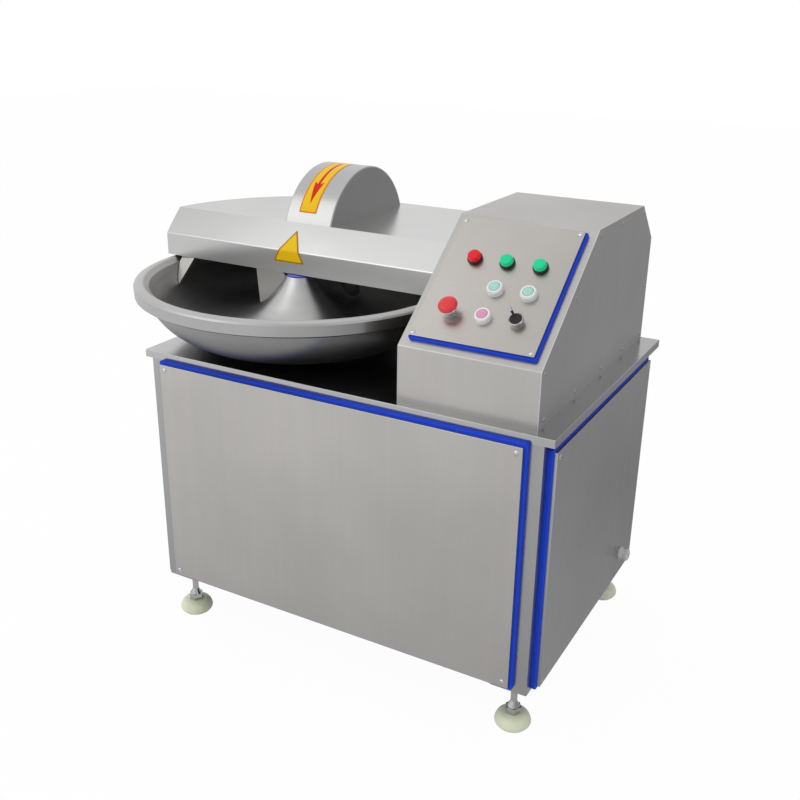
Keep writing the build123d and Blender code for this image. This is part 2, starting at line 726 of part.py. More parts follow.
# ---------------------------------------------------------------- knife shaft
sleeve_face = bowl_x + sleeve_start
bearing_bore_radius = 34.0
front_bearing_width = 15.0
rear_bearing_radius = 45.0
rear_bearing_width = 23.0
shaft_seal_width = 6.0
pedestal_radius = 60.0
pedestal_base_half = 88.0
pedestal_base_thickness = 16.0
pedestal_window_height = 90.0
pedestal_window_width = 64.0
pedestal_bolt_radius = 6.5
pedestal_bolt_inset = 18.0
front_bearing_start = sleeve_face + shaft_seal_width
rear_bearing_start = pedestal_end - rear_bearing_width
shaft_end = pulley_end + 3.0
sleeve_bore = shaft_shoulder_radius + 3.0

stack_middle = bowl_x
stack_half = knife_pitch * (knife_count - 1) / 2
first_knife = stack_middle - stack_half
last_knife = stack_middle + stack_half
clamp_width = 12.0
nut_width = 14.0
knife_nut_hex = 54.0
clamp_start = first_knife - knife_thickness / 2 - clamp_width
nut_start = clamp_start - nut_width
shaft_start = nut_start - 5.0
hub_nose = last_knife + knife_thickness / 2
hub_end = sleeve_face - 2.0

with BuildPart() as knife_shaft:
    shaft_section = [(shaft_start, 0), (shaft_start, knife_shaft_radius - 3),
                     (shaft_start + 1, knife_shaft_radius - 2),
                     (clamp_start, knife_shaft_radius - 2), (clamp_start, knife_shaft_radius),
                     (front_bearing_start + front_bearing_width, knife_shaft_radius),
                     (front_bearing_start + front_bearing_width, shaft_shoulder_radius),
                     (rear_bearing_start, shaft_shoulder_radius), (rear_bearing_start, knife_shaft_radius),
                     (shaft_end, knife_shaft_radius), (shaft_end, 0)]
    revolve(face(shaft_plane, shaft_section), axis=shaft_axis)
finish(knife_shaft, "knife_shaft")

with BuildPart() as knife_hub:
    hub_section = [(hub_nose, knife_shaft_radius), (hub_nose, knife_ring_radius - 3),
                   (hub_end - 18, knife_ring_radius - 3), (hub_end - 16, sleeve_radius - 2),
                   (hub_end, sleeve_radius - 2), (hub_end, knife_shaft_radius)]
    revolve(face(shaft_plane, hub_section), axis=shaft_axis)
finish(knife_hub, "knife_hub")

with BuildPart() as knife_spacers:
    for index in range(knife_count - 1):
        spacer_start = first_knife + index * knife_pitch + knife_thickness / 2
        spacer_section = ring_face(shaft_plane, spacer_start, spacer_start + knife_pitch - knife_thickness,
                                   knife_shaft_radius, knife_ring_radius - 3)
        revolve(spacer_section, axis=shaft_axis)
    clamp_section = [(clamp_start, knife_shaft_radius), (clamp_start, knife_ring_radius - 6),
                     (clamp_start + 5, knife_ring_radius), (clamp_start + clamp_width, knife_ring_radius),
                     (clamp_start + clamp_width, knife_shaft_radius)]
    revolve(face(shaft_plane, clamp_section), axis=shaft_axis)
finish(knife_spacers, "knife_spacers")

# A sickle blade in its own plane: ring round the shaft, convex cutting edge, hollow back.
tip_start_angle = radians(34)
tip_end_angle = radians(41)
bevel_angle = 60


def sickle_outline(plane):
    tip_start = (knife_tip_radius * cos(tip_start_angle), knife_tip_radius * sin(tip_start_angle))
    tip_end = (knife_tip_radius * cos(tip_end_angle), knife_tip_radius * sin(tip_end_angle))
    with BuildSketch(plane) as sketch:
        with BuildLine():
            edge = ThreePointArc((18, -knife_ring_radius + 6), (0.83 * knife_tip_radius, 18), tip_start)
            tip = Line(tip_start, tip_end)
            spine = ThreePointArc(tip @ 1, (0.42 * knife_tip_radius, 0.46 * knife_tip_radius),
                                  (-knife_ring_radius + 8, 20))
            Line(spine @ 1, edge @ 0)
        make_face()
    return sketch.sketch


def knife_blade(position, turn):
    along_blade = (0, cos(radians(turn)), sin(radians(turn)))
    plane = Plane(origin=(position - knife_thickness / 2, shaft_y, shaft_z),
                  x_dir=along_blade, z_dir=(1, 0, 0))
    land = knife_thickness * 0.2
    with BuildPart() as blade:
        extrude(sickle_outline(plane), amount=land)
        extrude(sickle_outline(plane.offset(land)), amount=knife_thickness - land, taper=bevel_angle)
        with BuildSketch(plane):
            Circle(knife_ring_radius)
        extrude(amount=knife_thickness)
        with BuildSketch(plane):
            Circle(knife_shaft_radius)
        extrude(amount=knife_thickness, mode=Mode.SUBTRACT)
    return blade.part


with BuildPart() as knives:
    for index in range(knife_count):
        add(knife_blade(first_knife + index * knife_pitch, index * 360 / knife_count))
finish(knives, "knives")

with BuildPart() as knife_nut:
    with BuildSketch(Plane(origin=(nut_start, shaft_y, shaft_z), x_dir=(0, 1, 0), z_dir=(1, 0, 0))):
        RegularPolygon(knife_nut_hex / 2, 6, major_radius=False)
        Circle(knife_shaft_radius - 2 + fit_gap, mode=Mode.SUBTRACT)
    extrude(amount=nut_width)
finish(knife_nut, "knife_nut")

# ---------------------------------------------------------------- knife shaft housing
with BuildPart() as bearing_housing:
    housing_section = [(sleeve_face, sleeve_bore), (sleeve_face, sleeve_radius - 2),
                       (sleeve_face + 2, sleeve_radius), (pedestal_start, sleeve_radius),
                       (pedestal_start, pedestal_radius), (pedestal_end, pedestal_radius),
                       (pedestal_end, sleeve_bore)]
    revolve(face(shaft_plane, housing_section), axis=shaft_axis)
    pedestal_plane = Plane(origin=(pedestal_start, shaft_y, worktop_height), x_dir=(0, 1, 0), z_dir=(1, 0, 0))
    with BuildSketch(pedestal_plane):
        with Locations((0, knife_shaft_height)):
            Circle(pedestal_radius)
        with Locations((0, pedestal_base_thickness)):
            Rectangle(2.4 * pedestal_radius, pedestal_base_thickness, align=(Align.CENTER, Align.MAX))
        make_hull()
        with Locations((0, pedestal_base_thickness)):
            Rectangle(2 * pedestal_base_half, pedestal_base_thickness, align=(Align.CENTER, Align.MAX))
        with Locations((0, knife_shaft_height / 2 - pedestal_window_width / 2)):
            SlotOverall(pedestal_window_height, pedestal_window_width, rotation=90, mode=Mode.SUBTRACT)
    extrude(amount=pedestal_width)
    for bore_start, bore_width, bore_radius in (
            (sleeve_face, shaft_seal_width + front_bearing_width, bearing_bore_radius),
            (front_bearing_start, rear_bearing_start - front_bearing_start, sleeve_bore),
            (rear_bearing_start, rear_bearing_width, rear_bearing_radius)):
        bore_section = ring_face(shaft_plane, bore_start, bore_start + bore_width, 0, bore_radius)
        revolve(bore_section, axis=shaft_axis, mode=Mode.SUBTRACT)
    with Locations((pedestal_start + pedestal_width / 2, shaft_y, worktop_height)):
        with GridLocations(pedestal_width - 2 * pedestal_bolt_inset,
                           2 * pedestal_base_half - 1.2 * pedestal_bolt_inset, 2, 2):
            Cylinder(pedestal_bolt_radius, 4 * pedestal_base_thickness, mode=Mode.SUBTRACT)
finish(bearing_housing, "bearing_housing")

knife_bearings = ((front_bearing_start, front_bearing_width, bearing_bore_radius),
                  (rear_bearing_start, rear_bearing_width, rear_bearing_radius))
with BuildPart() as bearing_outer_rings:
    for level in bearing_levels:
        outer_section = ring_face(bowl_plane, spindle_radius + bearing_split + running_gap, bowl_bearing_outer,
                                  level, level + bearing_width)
        revolve(outer_section, axis=bowl_axis)
    for start, width, radius in knife_bearings:
        outer_section = ring_face(shaft_plane, start, start + width,
                                  knife_shaft_radius + bearing_split + running_gap, radius)
        revolve(outer_section, axis=shaft_axis)
finish(bearing_outer_rings, "bearing_outer_rings")

with BuildPart() as knife_bearing_inner_rings:
    for start, width, radius in knife_bearings:
        inner_section = ring_face(shaft_plane, start, start + width,
                                  knife_shaft_radius, knife_shaft_radius + bearing_split)
        revolve(inner_section, axis=shaft_axis)
finish(knife_bearing_inner_rings, "knife_bearing_inner_rings")

with BuildPart() as shaft_seal:
    seal_section = [(sleeve_face + 0.5, knife_shaft_radius + running_gap),
                    (sleeve_face + 0.5, bearing_bore_radius),
                    (front_bearing_start, bearing_bore_radius),
                    (front_bearing_start, knife_shaft_radius + 6),
                    (sleeve_face + 2.5, knife_shaft_radius + 4),
                    (sleeve_face + 2.5, knife_shaft_radius + running_gap)]
    revolve(face(shaft_plane, seal_section), axis=shaft_axis)
finish(shaft_seal, "shaft_seal")

# ---------------------------------------------------------------- belt drive
belt_offsets = [(index - (belt_count - 1) / 2) * belt_pitch for index in range(belt_count)]
groove_depth = belt_depth + 3.0
motor_shaft_radius = 19.0
motor_frame_height = 132.0
motor_plate_thickness = 12.0
motor_rail_height = 40.0     # square tube
motor_rail_wall = 3.0
motor_radius = 122.0
motor_length = 330.0
motor_z = lower_rail_top + motor_rail_height + motor_plate_thickness + motor_frame_height
motor_axis = Axis((0, shaft_y, motor_z), (1, 0, 0))
motor_plane = Plane(origin=(0, shaft_y, motor_z), x_dir=(1, 0, 0), z_dir=(0, -1, 0))


def grooved_pulley(plane, axis, radius, bore):
    """A belt pulley with a web between hub and rim, and one V groove for each belt."""
    with BuildPart() as pulley:
        rim = radius - groove_depth - 8
        if rim > bore + 24:
            body = [(pulley_start, bore), (pulley_start, bore + 14), (pulley_start + 16, bore + 14),
                    (pulley_start + 16, rim), (pulley_start, rim), (pulley_start, radius),
                    (pulley_end, radius), (pulley_end, bore)]
        else:
            body = [(pulley_start, bore), (pulley_start, radius), (pulley_end, radius), (pulley_end, bore)]
        revolve(face(plane, body), axis=axis)
        for offset_x in belt_offsets:
            middle = pulley_middle + offset_x
            top_half = belt_half_top + groove_gap
            bottom_half = top_half - groove_depth * belt_flank_slope
            groove = [(middle - bottom_half, radius - groove_depth),
                      (middle + bottom_half, radius - groove_depth),
                      (middle + top_half, radius), (middle + top_half, radius + 1),
                      (middle - top_half, radius + 1), (middle - top_half, radius)]
            revolve(face(plane, groove), axis=axis, mode=Mode.SUBTRACT)
    return pulley.part


with BuildPart() as knife_pulley:
    add(grooved_pulley(shaft_plane, shaft_axis, knife_pulley_radius, knife_shaft_radius))
finish(knife_pulley, "knife_pulley")

with BuildPart() as motor_pulley:
    add(grooved_pulley(motor_plane, motor_axis, motor_pulley_radius, motor_shaft_radius))
finish(motor_pulley, "motor_pulley")


def belt_loop(position, inset):
    """The outline round both pulleys, drawn in by the inset."""
    with BuildSketch(Plane(origin=(position, shaft_y, shaft_z), x_dir=(0, 1, 0), z_dir=(1, 0, 0))) as loop:
        Circle(knife_pulley_radius - inset)
        with Locations((0, motor_z - shaft_z)):
            Circle(motor_pulley_radius - inset)
        make_hull()
    return loop.sketch


def v_belt(middle):
    bottom_half = belt_half_top - belt_depth * belt_flank_slope
    with BuildPart() as belt:
        extrude(belt_loop(middle - belt_half_top, 0), amount=2 * belt_half_top)
        extrude(belt_loop(middle - bottom_half, belt_depth), amount=2 * bottom_half, mode=Mode.SUBTRACT)
        loft([belt_loop(middle + bottom_half, belt_depth), belt_loop(middle + belt_half_top, 0)],
             mode=Mode.SUBTRACT)
        loft([belt_loop(middle - belt_half_top, 0), belt_loop(middle - bottom_half, belt_depth)],
             mode=Mode.SUBTRACT)
    return belt.part


with BuildPart() as v_belts:
    for offset_x in belt_offsets:
        add(v_belt(pulley_middle + offset_x))
finish(v_belts, "v_belts")

# ---------------------------------------------------------------- knife motor
motor_foot_length = 190.0
motor_foot_width = 250.0
motor_foot_thickness = 14.0
motor_bore_depth = 30.0
motor_pulley_gap = 16.0
motor_end = pulley_start - motor_pulley_gap
with BuildPart() as knife_motor:
    mirrored_casing = motor_casing(motor_axis, motor_plane, -motor_end, motor_length, motor_radius, 32)
    mirror(mirrored_casing, about=Plane.YZ, mode=Mode.ADD)
    with Locations((motor_end - motor_length / 2, shaft_y, motor_z - motor_frame_height)):
        Box(motor_foot_length, motor_foot_width, motor_foot_thickness,
            align=(Align.CENTER, Align.CENTER, Align.MIN))
        with GridLocations(motor_foot_length - 40, motor_foot_width - 70, 2, 2):
            Box(36, 26, motor_frame_height - 78, align=(Align.CENTER, Align.CENTER, Align.MIN))
    with Locations((motor_end - motor_length / 3, shaft_y, motor_z + motor_radius + 10)):
        Box(1.5 * terminal_box_length, 1.5 * terminal_box_width, 1.25 * terminal_box_height)
    bore_section = ring_face(motor_plane, motor_end - motor_bore_depth, motor_end + 1,
                             0, motor_shaft_radius + running_gap)
    revolve(bore_section, axis=motor_axis, mode=Mode.SUBTRACT)
finish(knife_motor, "knife_motor")

with BuildPart() as motor_shaft:
    motor_shaft_section = ring_face(motor_plane, motor_end - motor_bore_depth + 2, pulley_end + 2,
                                    0, motor_shaft_radius)
    revolve(motor_shaft_section, axis=motor_axis)
finish(motor_shaft, "motor_shaft")

motor_middle_x = motor_end - motor_length / 2
with BuildPart() as motor_base:
    with BuildSketch(Plane.XY.offset(lower_rail_top + motor_rail_height)):
        with Locations((motor_middle_x, shaft_y)):
            RectangleRounded(motor_foot_length + 40, motor_foot_width + 40, 8)
    extrude(amount=motor_plate_thickness)
    rail_plane = Plane(origin=(motor_middle_x, cabinet_front + frame_angle_wall,
                               lower_rail_top + motor_rail_height / 2),
                       x_dir=(-1, 0, 0), z_dir=(0, 1, 0))
    with BuildSketch(rail_plane):
        with GridLocations(motor_foot_length - 40, 0, 2, 1):
            RectangleRounded(motor_rail_height, motor_rail_height, frame_angle_wall)
            Rectangle(motor_rail_height - 2 * motor_rail_wall, motor_rail_height - 2 * motor_rail_wall,
                      mode=Mode.SUBTRACT)
    extrude(amount=cabinet_back - cabinet_front - 2 * frame_angle_wall)
finish(motor_base, "motor_base")

# ---------------------------------------------------------------- hood over the rear of the bowl
def hood_volume(inset):
    """The hood's block: D shape in plan, sloped along its front edge; drawn in by the inset."""
    floor_level = hood_bottom - (1 if inset else 0)
    with BuildPart() as volume:
        with BuildSketch(Plane.XY.offset(floor_level)):
            with Locations((bowl_x, bowl_y)):
                Circle(hood_radius - inset)
            with Locations((bowl_x, hood_back - inset)):
                Rectangle(hood_right - inset - bowl_x, hood_back - hood_front, align=(Align.MIN, Align.MAX))
            with Locations((bowl_x, hood_front + inset)):
                Rectangle(4 * hood_radius, 4 * hood_radius, align=(Align.CENTER, Align.MAX), mode=Mode.SUBTRACT)
            with Locations((hood_right - inset, bowl_y)):
                Rectangle(hood_radius, 4 * hood_radius, align=(Align.MIN, Align.CENTER), mode=Mode.SUBTRACT)
        extrude(amount=hood_top - inset - floor_level)
        slope_normal = (0, hood_front_height - hood_height, hood_chamfer_run)
        slope_plane = Plane(
            origin=(bowl_x, hood_front + hood_chamfer_run, hood_top), x_dir=(1, 0, 0), z_dir=slope_normal)
        split(bisect_by=slope_plane.offset(-inset), keep=Keep.BOTTOM)
        folds = volume.edges().filter_by(Axis.X).filter_by_position(
            Axis.Y, hood_front, hood_front + hood_chamfer_run).filter_by_position(
            Axis.Z, hood_bottom + hood_front_height / 2, hood_top)
        fillet(folds, hood_fold_radius - inset)
    return volume.part


guard_start = bowl_x - guard_half_width
notch_radius = sleeve_radius + 3.0
notch_depth = shaft_z - hood_bottom + 1.0
lift_angle = atan2(shaft_z - hinge_z, hinge_y - shaft_y)   # the notch's front edge follows the hood's lift
notch_drop = notch_depth + notch_radius * sin(lift_angle)
guard_slot_half = sqrt((guard_radius - hood_sheet) ** 2 - (hood_top - shaft_z) ** 2) - 2.0
hinge_xs = [left + inset for inset in hinge_insets]
hinge_axis_plane = Plane(origin=(0, hinge_y, hinge_z), x_dir=(0, 1, 0), z_dir=(1, 0, 0))

with BuildPart() as hood:
    add(hood_volume(0))
    add(hood_volume(hood_sheet), mode=Mode.SUBTRACT)
    with Locations((bowl_x, shaft_y, hood_top)):
        Box(2 * (guard_half_width - hood_sheet), 2 * guard_slot_half, 4 * hood_sheet, mode=Mode.SUBTRACT)
    with BuildSketch(Plane(origin=(hood_right - hood_sheet - 1, shaft_y, shaft_z), x_dir=(0, 1, 0),
                           z_dir=(1, 0, 0))):
        Circle(notch_radius)
        with BuildLine():
            Polyline((-notch_radius * cos(lift_angle), notch_radius * sin(lift_angle)),
                     (-notch_radius * cos(lift_angle) - notch_drop * tan(lift_angle), -notch_depth),
                     (notch_radius, -notch_depth), (notch_radius, 0), close=True)
        make_face()
    extrude(amount=hood_sheet + 2, mode=Mode.SUBTRACT)
finish(hood, "hood")

with BuildPart() as knife_guard:
    guard_plane = Plane(origin=(guard_start, shaft_y, shaft_z), x_dir=(0, 1, 0), z_dir=(1, 0, 0))
    with BuildSketch(guard_plane):
        Circle(guard_radius)
    extrude(amount=2 * guard_half_width)
    fillet(knife_guard.edges().filter_by(GeomType.CIRCLE), 4)
    with BuildSketch(guard_plane.offset(hood_sheet)):
        Circle(guard_radius - hood_sheet)
    extrude(amount=2 * (guard_half_width - hood_sheet), mode=Mode.SUBTRACT)
    split(bisect_by=Plane.XY.offset(hood_top), keep=Keep.TOP)
finish(knife_guard, "knife_guard")

# Ears welded to the hood's rear wall; each turns on a pin between two cheeks.
ear_gap = 0.5
with BuildPart() as hinge_ears:
    for hinge_x in hinge_xs:
        with BuildSketch(hinge_axis_plane.offset(hinge_x - hinge_ear_width / 2)):
            Circle(hinge_ear_radius)
            with Locations((-hinge_offset, -hinge_ear_radius)):
                Rectangle(hinge_offset, 2 * hinge_ear_radius + 18, align=(Align.MIN, Align.MIN))
            make_hull()
            Circle(hinge_pin_radius + fit_gap, mode=Mode.SUBTRACT)
        extrude(amount=hinge_ear_width)
finish(hinge_ears, "hinge_ears")

cheek_radius = hinge_offset - 2.0
bracket_half = hinge_ear_width / 2 + ear_gap + hinge_cheek_width
bracket_base = 6.0
bracket_web_height = 100.0
bracket_flange = 15.0
pin_head_height = 4.0
with BuildPart() as hinge_brackets:
    for hinge_x in hinge_xs:
        for side in (-1, 1):
            cheek_start = hinge_x + side * (bracket_half - hinge_cheek_width / 2) - hinge_cheek_width / 2
            cheek_plane = hinge_axis_plane.offset(cheek_start)
            with BuildSketch(cheek_plane):
                Circle(cheek_radius)
                Rectangle(2 * cheek_radius, hinge_z - worktop_height - bracket_base,
                          align=(Align.CENTER, Align.MAX))
                Circle(hinge_pin_radius, mode=Mode.SUBTRACT)
            extrude(amount=hinge_cheek_width)
        with Locations((hinge_x, hinge_y, worktop_height)):
            Box(2 * (bracket_half + bracket_flange), 2 * cheek_radius, bracket_base,
                align=(Align.CENTER, Align.CENTER, Align.MIN))
            Box(2 * bracket_half, 2 * cheek_radius, bracket_web_height,
                align=(Align.CENTER, Align.CENTER, Align.MIN))
finish(hinge_brackets, "hinge_brackets")

with BuildPart() as hinge_pins:
    for hinge_x in hinge_xs:
        pin_half = bracket_half + 3.0
        with BuildSketch(hinge_axis_plane.offset(hinge_x - pin_half)):
            Circle(hinge_pin_radius)
        extrude(amount=2 * pin_half)
        with BuildSketch(hinge_axis_plane.offset(hinge_x + bracket_half)):
            Circle(hinge_pin_radius + 3)
        extrude(amount=pin_head_height)
finish(hinge_pins, "hinge_pins")

# ---------------------------------------------------------------- scrapers under the hood
inner_scraper_y = hood_front + hood_sheet + 10.0
inner_scraper_top = hood_bottom + 30.0
scraper_reach_left = 123.0   # from the bowl's axis at the hood's edge
scraper_reach_tip = 109.0
scraper_clear = cone_top_radius + 17.0
scraper_tab_width = 60.0
scraper_tab_height = 24.0

with BuildPart() as scraper_space:
    revolve(bowl_inside(scraper_gap), axis=bowl_axis)

with BuildPart() as inner_scraper:
    blade_plane = Plane(origin=(bowl_x, inner_scraper_y, worktop_height), x_dir=(-1, 0, 0), z_dir=(0, 1, 0))
    hood_edge = hood_bottom - worktop_height
    scraper_head = inner_scraper_top - worktop_height
    scraper_outline = [(scraper_reach_left, scraper_head), (scraper_reach_left, hood_edge),
                       (scraper_reach_tip, 0), (0, 0), (0, cone_top_height - 7),
                       (scraper_clear - 10, cone_top_height - 7),
                       (scraper_clear, hood_edge), (scraper_clear, scraper_head)]
    extrude(face(blade_plane, scraper_outline), amount=scraper_sheet)
    add(scraper_space.part, mode=Mode.INTERSECT)
    tab_drop = inner_scraper_y - hood_front - hood_sheet
    tab_x = bowl_x - (scraper_reach_left + scraper_clear) / 2
    with Locations((tab_x, hood_front + hood_sheet, inner_scraper_top)):
        Box(scraper_tab_width, tab_drop + scraper_sheet, scraper_sheet,
            align=(Align.CENTER, Align.MIN, Align.MAX))
        Box(scraper_tab_width, scraper_sheet, scraper_tab_height, align=(Align.CENTER, Align.MIN, Align.MAX))
finish(inner_scraper, "inner_scraper")

# The outer scraper leans forward and down along the bowl's wall from the hood's left front corner.
outer_blade_right = bowl_lip_radius - 43.0
outer_blade_width = 45.0
outer_blade_reach = 60.0     # ahead of the hood's front
outer_blade_drop = 59.0
outer_top_right = Vector(bowl_x - outer_blade_right, hood_front + hood_sheet, hood_bottom - 3)
outer_top_left = outer_top_right - Vector(outer_blade_width, 0, 5)
outer_tip = Vector(bowl_x - outer_blade_right - 6, hood_front - outer_blade_reach,
                   worktop_height + bowl_rim_height - outer_blade_drop)
outer_past_wall = 60.0
outer_tip_drop = 1.25
outer_tab_height = 46.0

with BuildPart() as outer_scraper:
    across = outer_top_right - outer_top_left
    lean_plane = Plane(origin=outer_top_left, x_dir=across, z_dir=across.cross(outer_tip - outer_top_left))
    tip_local = lean_plane.to_local_coords(outer_tip)
    lean_outline = [(-outer_past_wall, 0), (across.length, 0), (tip_local.X, tip_local.Y),
                    (tip_local.X - outer_past_wall, tip_local.Y * outer_tip_drop)]
    extrude(face(lean_plane, lean_outline), amount=scraper_sheet, both=True)
    with Locations((outer_top_right.X - outer_blade_width / 2, hood_front + hood_sheet, inner_scraper_top)):
        Box(outer_blade_width - 5, scraper_sheet, outer_tab_height, align=(Align.CENTER, Align.MIN, Align.MAX))
    add(scraper_space.part, mode=Mode.INTERSECT)
finish(outer_scraper, "outer_scraper")

# Rubber ring on the sleeve: the hood's end wall rests on it.
with BuildPart() as hood_rest_ring:
    rest_section = ring_face(shaft_plane, hood_right - hood_sheet - 8, hood_right + hood_console_gap - 1,
                             sleeve_radius, notch_radius)
    revolve(rest_section, axis=shaft_axis)
    rest_slot = ring_face(shaft_plane, hood_right - hood_sheet - running_gap, hood_right + running_gap,
                          notch_radius - running_gap, notch_radius + 1)
    revolve(rest_slot, axis=shaft_axis, mode=Mode.SUBTRACT)
finish(hood_rest_ring, "hood_rest_ring")

# ---------------------------------------------------------------- console
slope_foot = (console_front, worktop_height + console_front_height)
slope_head = (front + console_slope_end, worktop_height + console_height)
slope_run = slope_head[0] - slope_foot[0]
slope_rise = slope_head[1] - slope_foot[1]
slope_length = hypot(slope_run, slope_rise)
slope_out = (0, -slope_rise / slope_length, slope_run / slope_length)
console_points = [
    (console_front, worktop_height), slope_foot, slope_head,
    (front + console_top_end, worktop_height + console_height),
    (back - console_back_inset, worktop_height + console_back_height),
    (back - console_back_inset, worktop_height)]
cover_plane = Plane.YZ.offset(console_right - console_sheet)


def console_outline(plane, inset=0.0):
    """The console's side outline with its rounded folds, drawn in by the inset."""
    with BuildSketch(plane) as outline:
        with BuildLine():
            Polyline(*console_points, close=True)
        make_face()
        folds = outline.vertices().filter_by_position(
            Axis.Y, worktop_height + 1, worktop_height + console_height + 1)
        fillet(folds, console_fold_radius)
        if inset:
            offset(amount=-inset, kind=Kind.INTERSECTION, mode=Mode.REPLACE)
    return outline.sketch


slope_plane = Plane(origin=(console_left, *slope_foot), x_dir=(1, 0, 0), z_dir=slope_out)

plate_middle_x = console_width / 2 - console_sheet
plate_middle_y = plate_lower_edge + plate_height / 2
plate_plane = slope_plane.offset(plate_seal_depth)
plate_face = plate_seal_depth + plate_return
device_plane = slope_plane.offset(plate_face)
device_columns = [device_middle_right + step * device_pitch_x for step in (-1, 0, 1)]
device_rows = [device_middle_up + step * device_pitch_y for step in (-1, 0, 1)]
red_lamp_spot = (device_columns[0], device_rows[2])
green_lamp_spots = [(device_columns[1], device_rows[2]), (device_columns[2], device_rows[2])]
left_button_spot = (device_columns[1], device_rows[1])
right_button_spot = (device_columns[2], device_rows[1])
estop_spot = (device_columns[0], device_rows[0])
pink_button_spot = (device_columns[1], device_rows[0])
selector_spot = (device_columns[2], device_rows[0])
bezel_spots = [left_button_spot, right_button_spot, pink_button_spot]
lamp_spots = [red_lamp_spot] + green_lamp_spots
device_spots = bezel_spots + lamp_spots + [estop_spot, selector_spot]
plate_screw_spots = [(plate_middle_x + sx * (plate_width / 2 - plate_screw_inset),
                      plate_middle_y + sy * (plate_height / 2 - plate_screw_inset))
                     for sx in (-1, 1) for sy in (-1, 1)]
# Cover screws: one near each corner of the side outline, by a step from it, and more along the edges.
corner_steps = [(26, 12), (14, -9), (7.5, -14), (0.5, -17), (-11, -7), (-13, 12)]
edge_shares = [(), (0.53,), (0.48,), (), (0.48,), (0.224, 0.46, 0.725)]
corner_spots = [(y + step_y, z + step_z) for (y, z), (step_y, step_z) in zip(console_points, corner_steps)]
next_spots = corner_spots[1:] + corner_spots[:1]
between_spots = [(near[0] + share * (far[0] - near[0]), near[1] + share * (far[1] - near[1]))
                 for near, far, shares in zip(corner_spots, next_spots, edge_shares) for share in shares]
cover_seats = [cover_plane.offset(console_sheet).location * Location((y, z, 0))
               for y, z in corner_spots + between_spots]
plate_seats = [device_plane.location * Location((x, y, 0)) for x, y in plate_screw_spots]

plate_screw_radius = 2.0
plate_screw_head_radius = 4.5
plate_screw_head_height = 2.4
plate_screw_length = 8.0
plate_seal_lip = 5.0
plate_seal_width = 20.0

with BuildPart() as console_body:
    inner_plane = Plane.YZ.offset(console_left + console_sheet)
    extrude(console_outline(Plane.YZ.offset(console_left)), amount=console_width - console_sheet)
    extrude(console_outline(inner_plane, console_sheet), amount=console_width - 3 * console_sheet,
            mode=Mode.SUBTRACT)
    extrude(console_outline(inner_plane, console_flange), amount=console_width, mode=Mode.SUBTRACT)
    with BuildSketch(Plane.XY.offset(worktop_height)):
        with Locations(((console_left + console_right) / 2, (console_front + back - console_back_inset) / 2)):
            Rectangle(console_width - 2 * console_foot_flange,
                      back - console_back_inset - console_front - 2 * console_foot_flange)
    extrude(amount=console_sheet, mode=Mode.SUBTRACT)
    with BuildSketch(Plane(origin=(console_left, shaft_y, shaft_z), x_dir=(0, 1, 0), z_dir=(1, 0, 0))):
        Circle(sleeve_radius + 1)
    extrude(amount=console_sheet, mode=Mode.SUBTRACT)
    with BuildSketch(slope_plane):
        with Locations(*device_spots):
            Circle(device_hole)
        with Locations(*plate_screw_spots):
            Circle(plate_screw_radius + hole_clearance)
    extrude(amount=-console_sheet, mode=Mode.SUBTRACT)
    with Locations(*cover_seats):
        Cylinder(plate_screw_radius + hole_clearance, 6 * console_sheet, mode=Mode.SUBTRACT)
finish(console_body, "console_body")

with BuildPart() as console_side_cover:
    extrude(console_outline(cover_plane), amount=console_sheet)
    with Locations(*cover_seats):
        Cylinder(plate_screw_radius + hole_clearance, 6 * console_sheet, mode=Mode.SUBTRACT)
finish(console_side_cover, "console_side_cover")

# ---------------------------------------------------------------- control plate on the slope
with BuildPart() as control_plate:
    with BuildSketch(plate_plane):
        with Locations((plate_middle_x, plate_middle_y)):
            RectangleRounded(plate_width, plate_height, 2)
    extrude(amount=plate_return)
    plate_front = control_plate.faces().sort_by(Axis(device_plane.origin, device_plane.z_dir))[-1]
    fillet(plate_front.edges(), plate_sheet / 2)
    with BuildSketch(plate_plane):
        with Locations((plate_middle_x, plate_middle_y)):
            Rectangle(plate_width - 2 * plate_sheet, plate_height - 2 * plate_sheet)
    extrude(amount=plate_return - plate_sheet, mode=Mode.SUBTRACT)
    with BuildSketch(plate_plane):
        with Locations(*device_spots):
            Circle(device_hole)
        with Locations(*plate_screw_spots):
            Circle(plate_screw_radius + hole_clearance)
    extrude(amount=plate_return, mode=Mode.SUBTRACT)
finish(control_plate, "control_plate")

with BuildPart() as control_plate_seal:
    with BuildSketch(slope_plane):
        with Locations((plate_middle_x, plate_middle_y)):
            RectangleRounded(plate_width + 2 * plate_seal_lip, plate_height + 2 * plate_seal_lip,
                             plate_seal_lip)
            inner_trim = 2 * (plate_seal_width - plate_seal_lip)
            RectangleRounded(plate_width - inner_trim, plate_height - inner_trim, 4, mode=Mode.SUBTRACT)
        with Locations(*plate_screw_spots):
            Circle(plate_screw_radius + hole_clearance, mode=Mode.SUBTRACT)
    extrude(amount=plate_seal_depth)
finish(control_plate_seal, "control_plate_seal")

with BuildPart() as small_screw:
    Cylinder(plate_screw_head_radius, plate_screw_head_height, align=(Align.CENTER, Align.CENTER, Align.MIN))
    fillet(small_screw.faces().sort_by(Axis.Z)[-1].edges(), plate_screw_head_height / 2)
    Cylinder(plate_screw_radius, plate_screw_length, align=(Align.CENTER, Align.CENTER, Align.MAX))

with BuildPart() as console_screws:
    with Locations(*cover_seats, *plate_seats):
        add(small_screw.part)
finish(console_screws, "console_screws")


def turned(spot, section):
    """A turned piece that stands on the control plate at the spot; the section is (radius, height)."""
    base = device_plane.origin + device_plane.x_dir * spot[0] + device_plane.y_dir * spot[1]
    section_plane = Plane(origin=base, x_dir=device_plane.x_dir, z_dir=-device_plane.y_dir)
    return revolve(face(section_plane, section), axis=Axis(base, device_plane.z_dir), mode=Mode.PRIVATE)


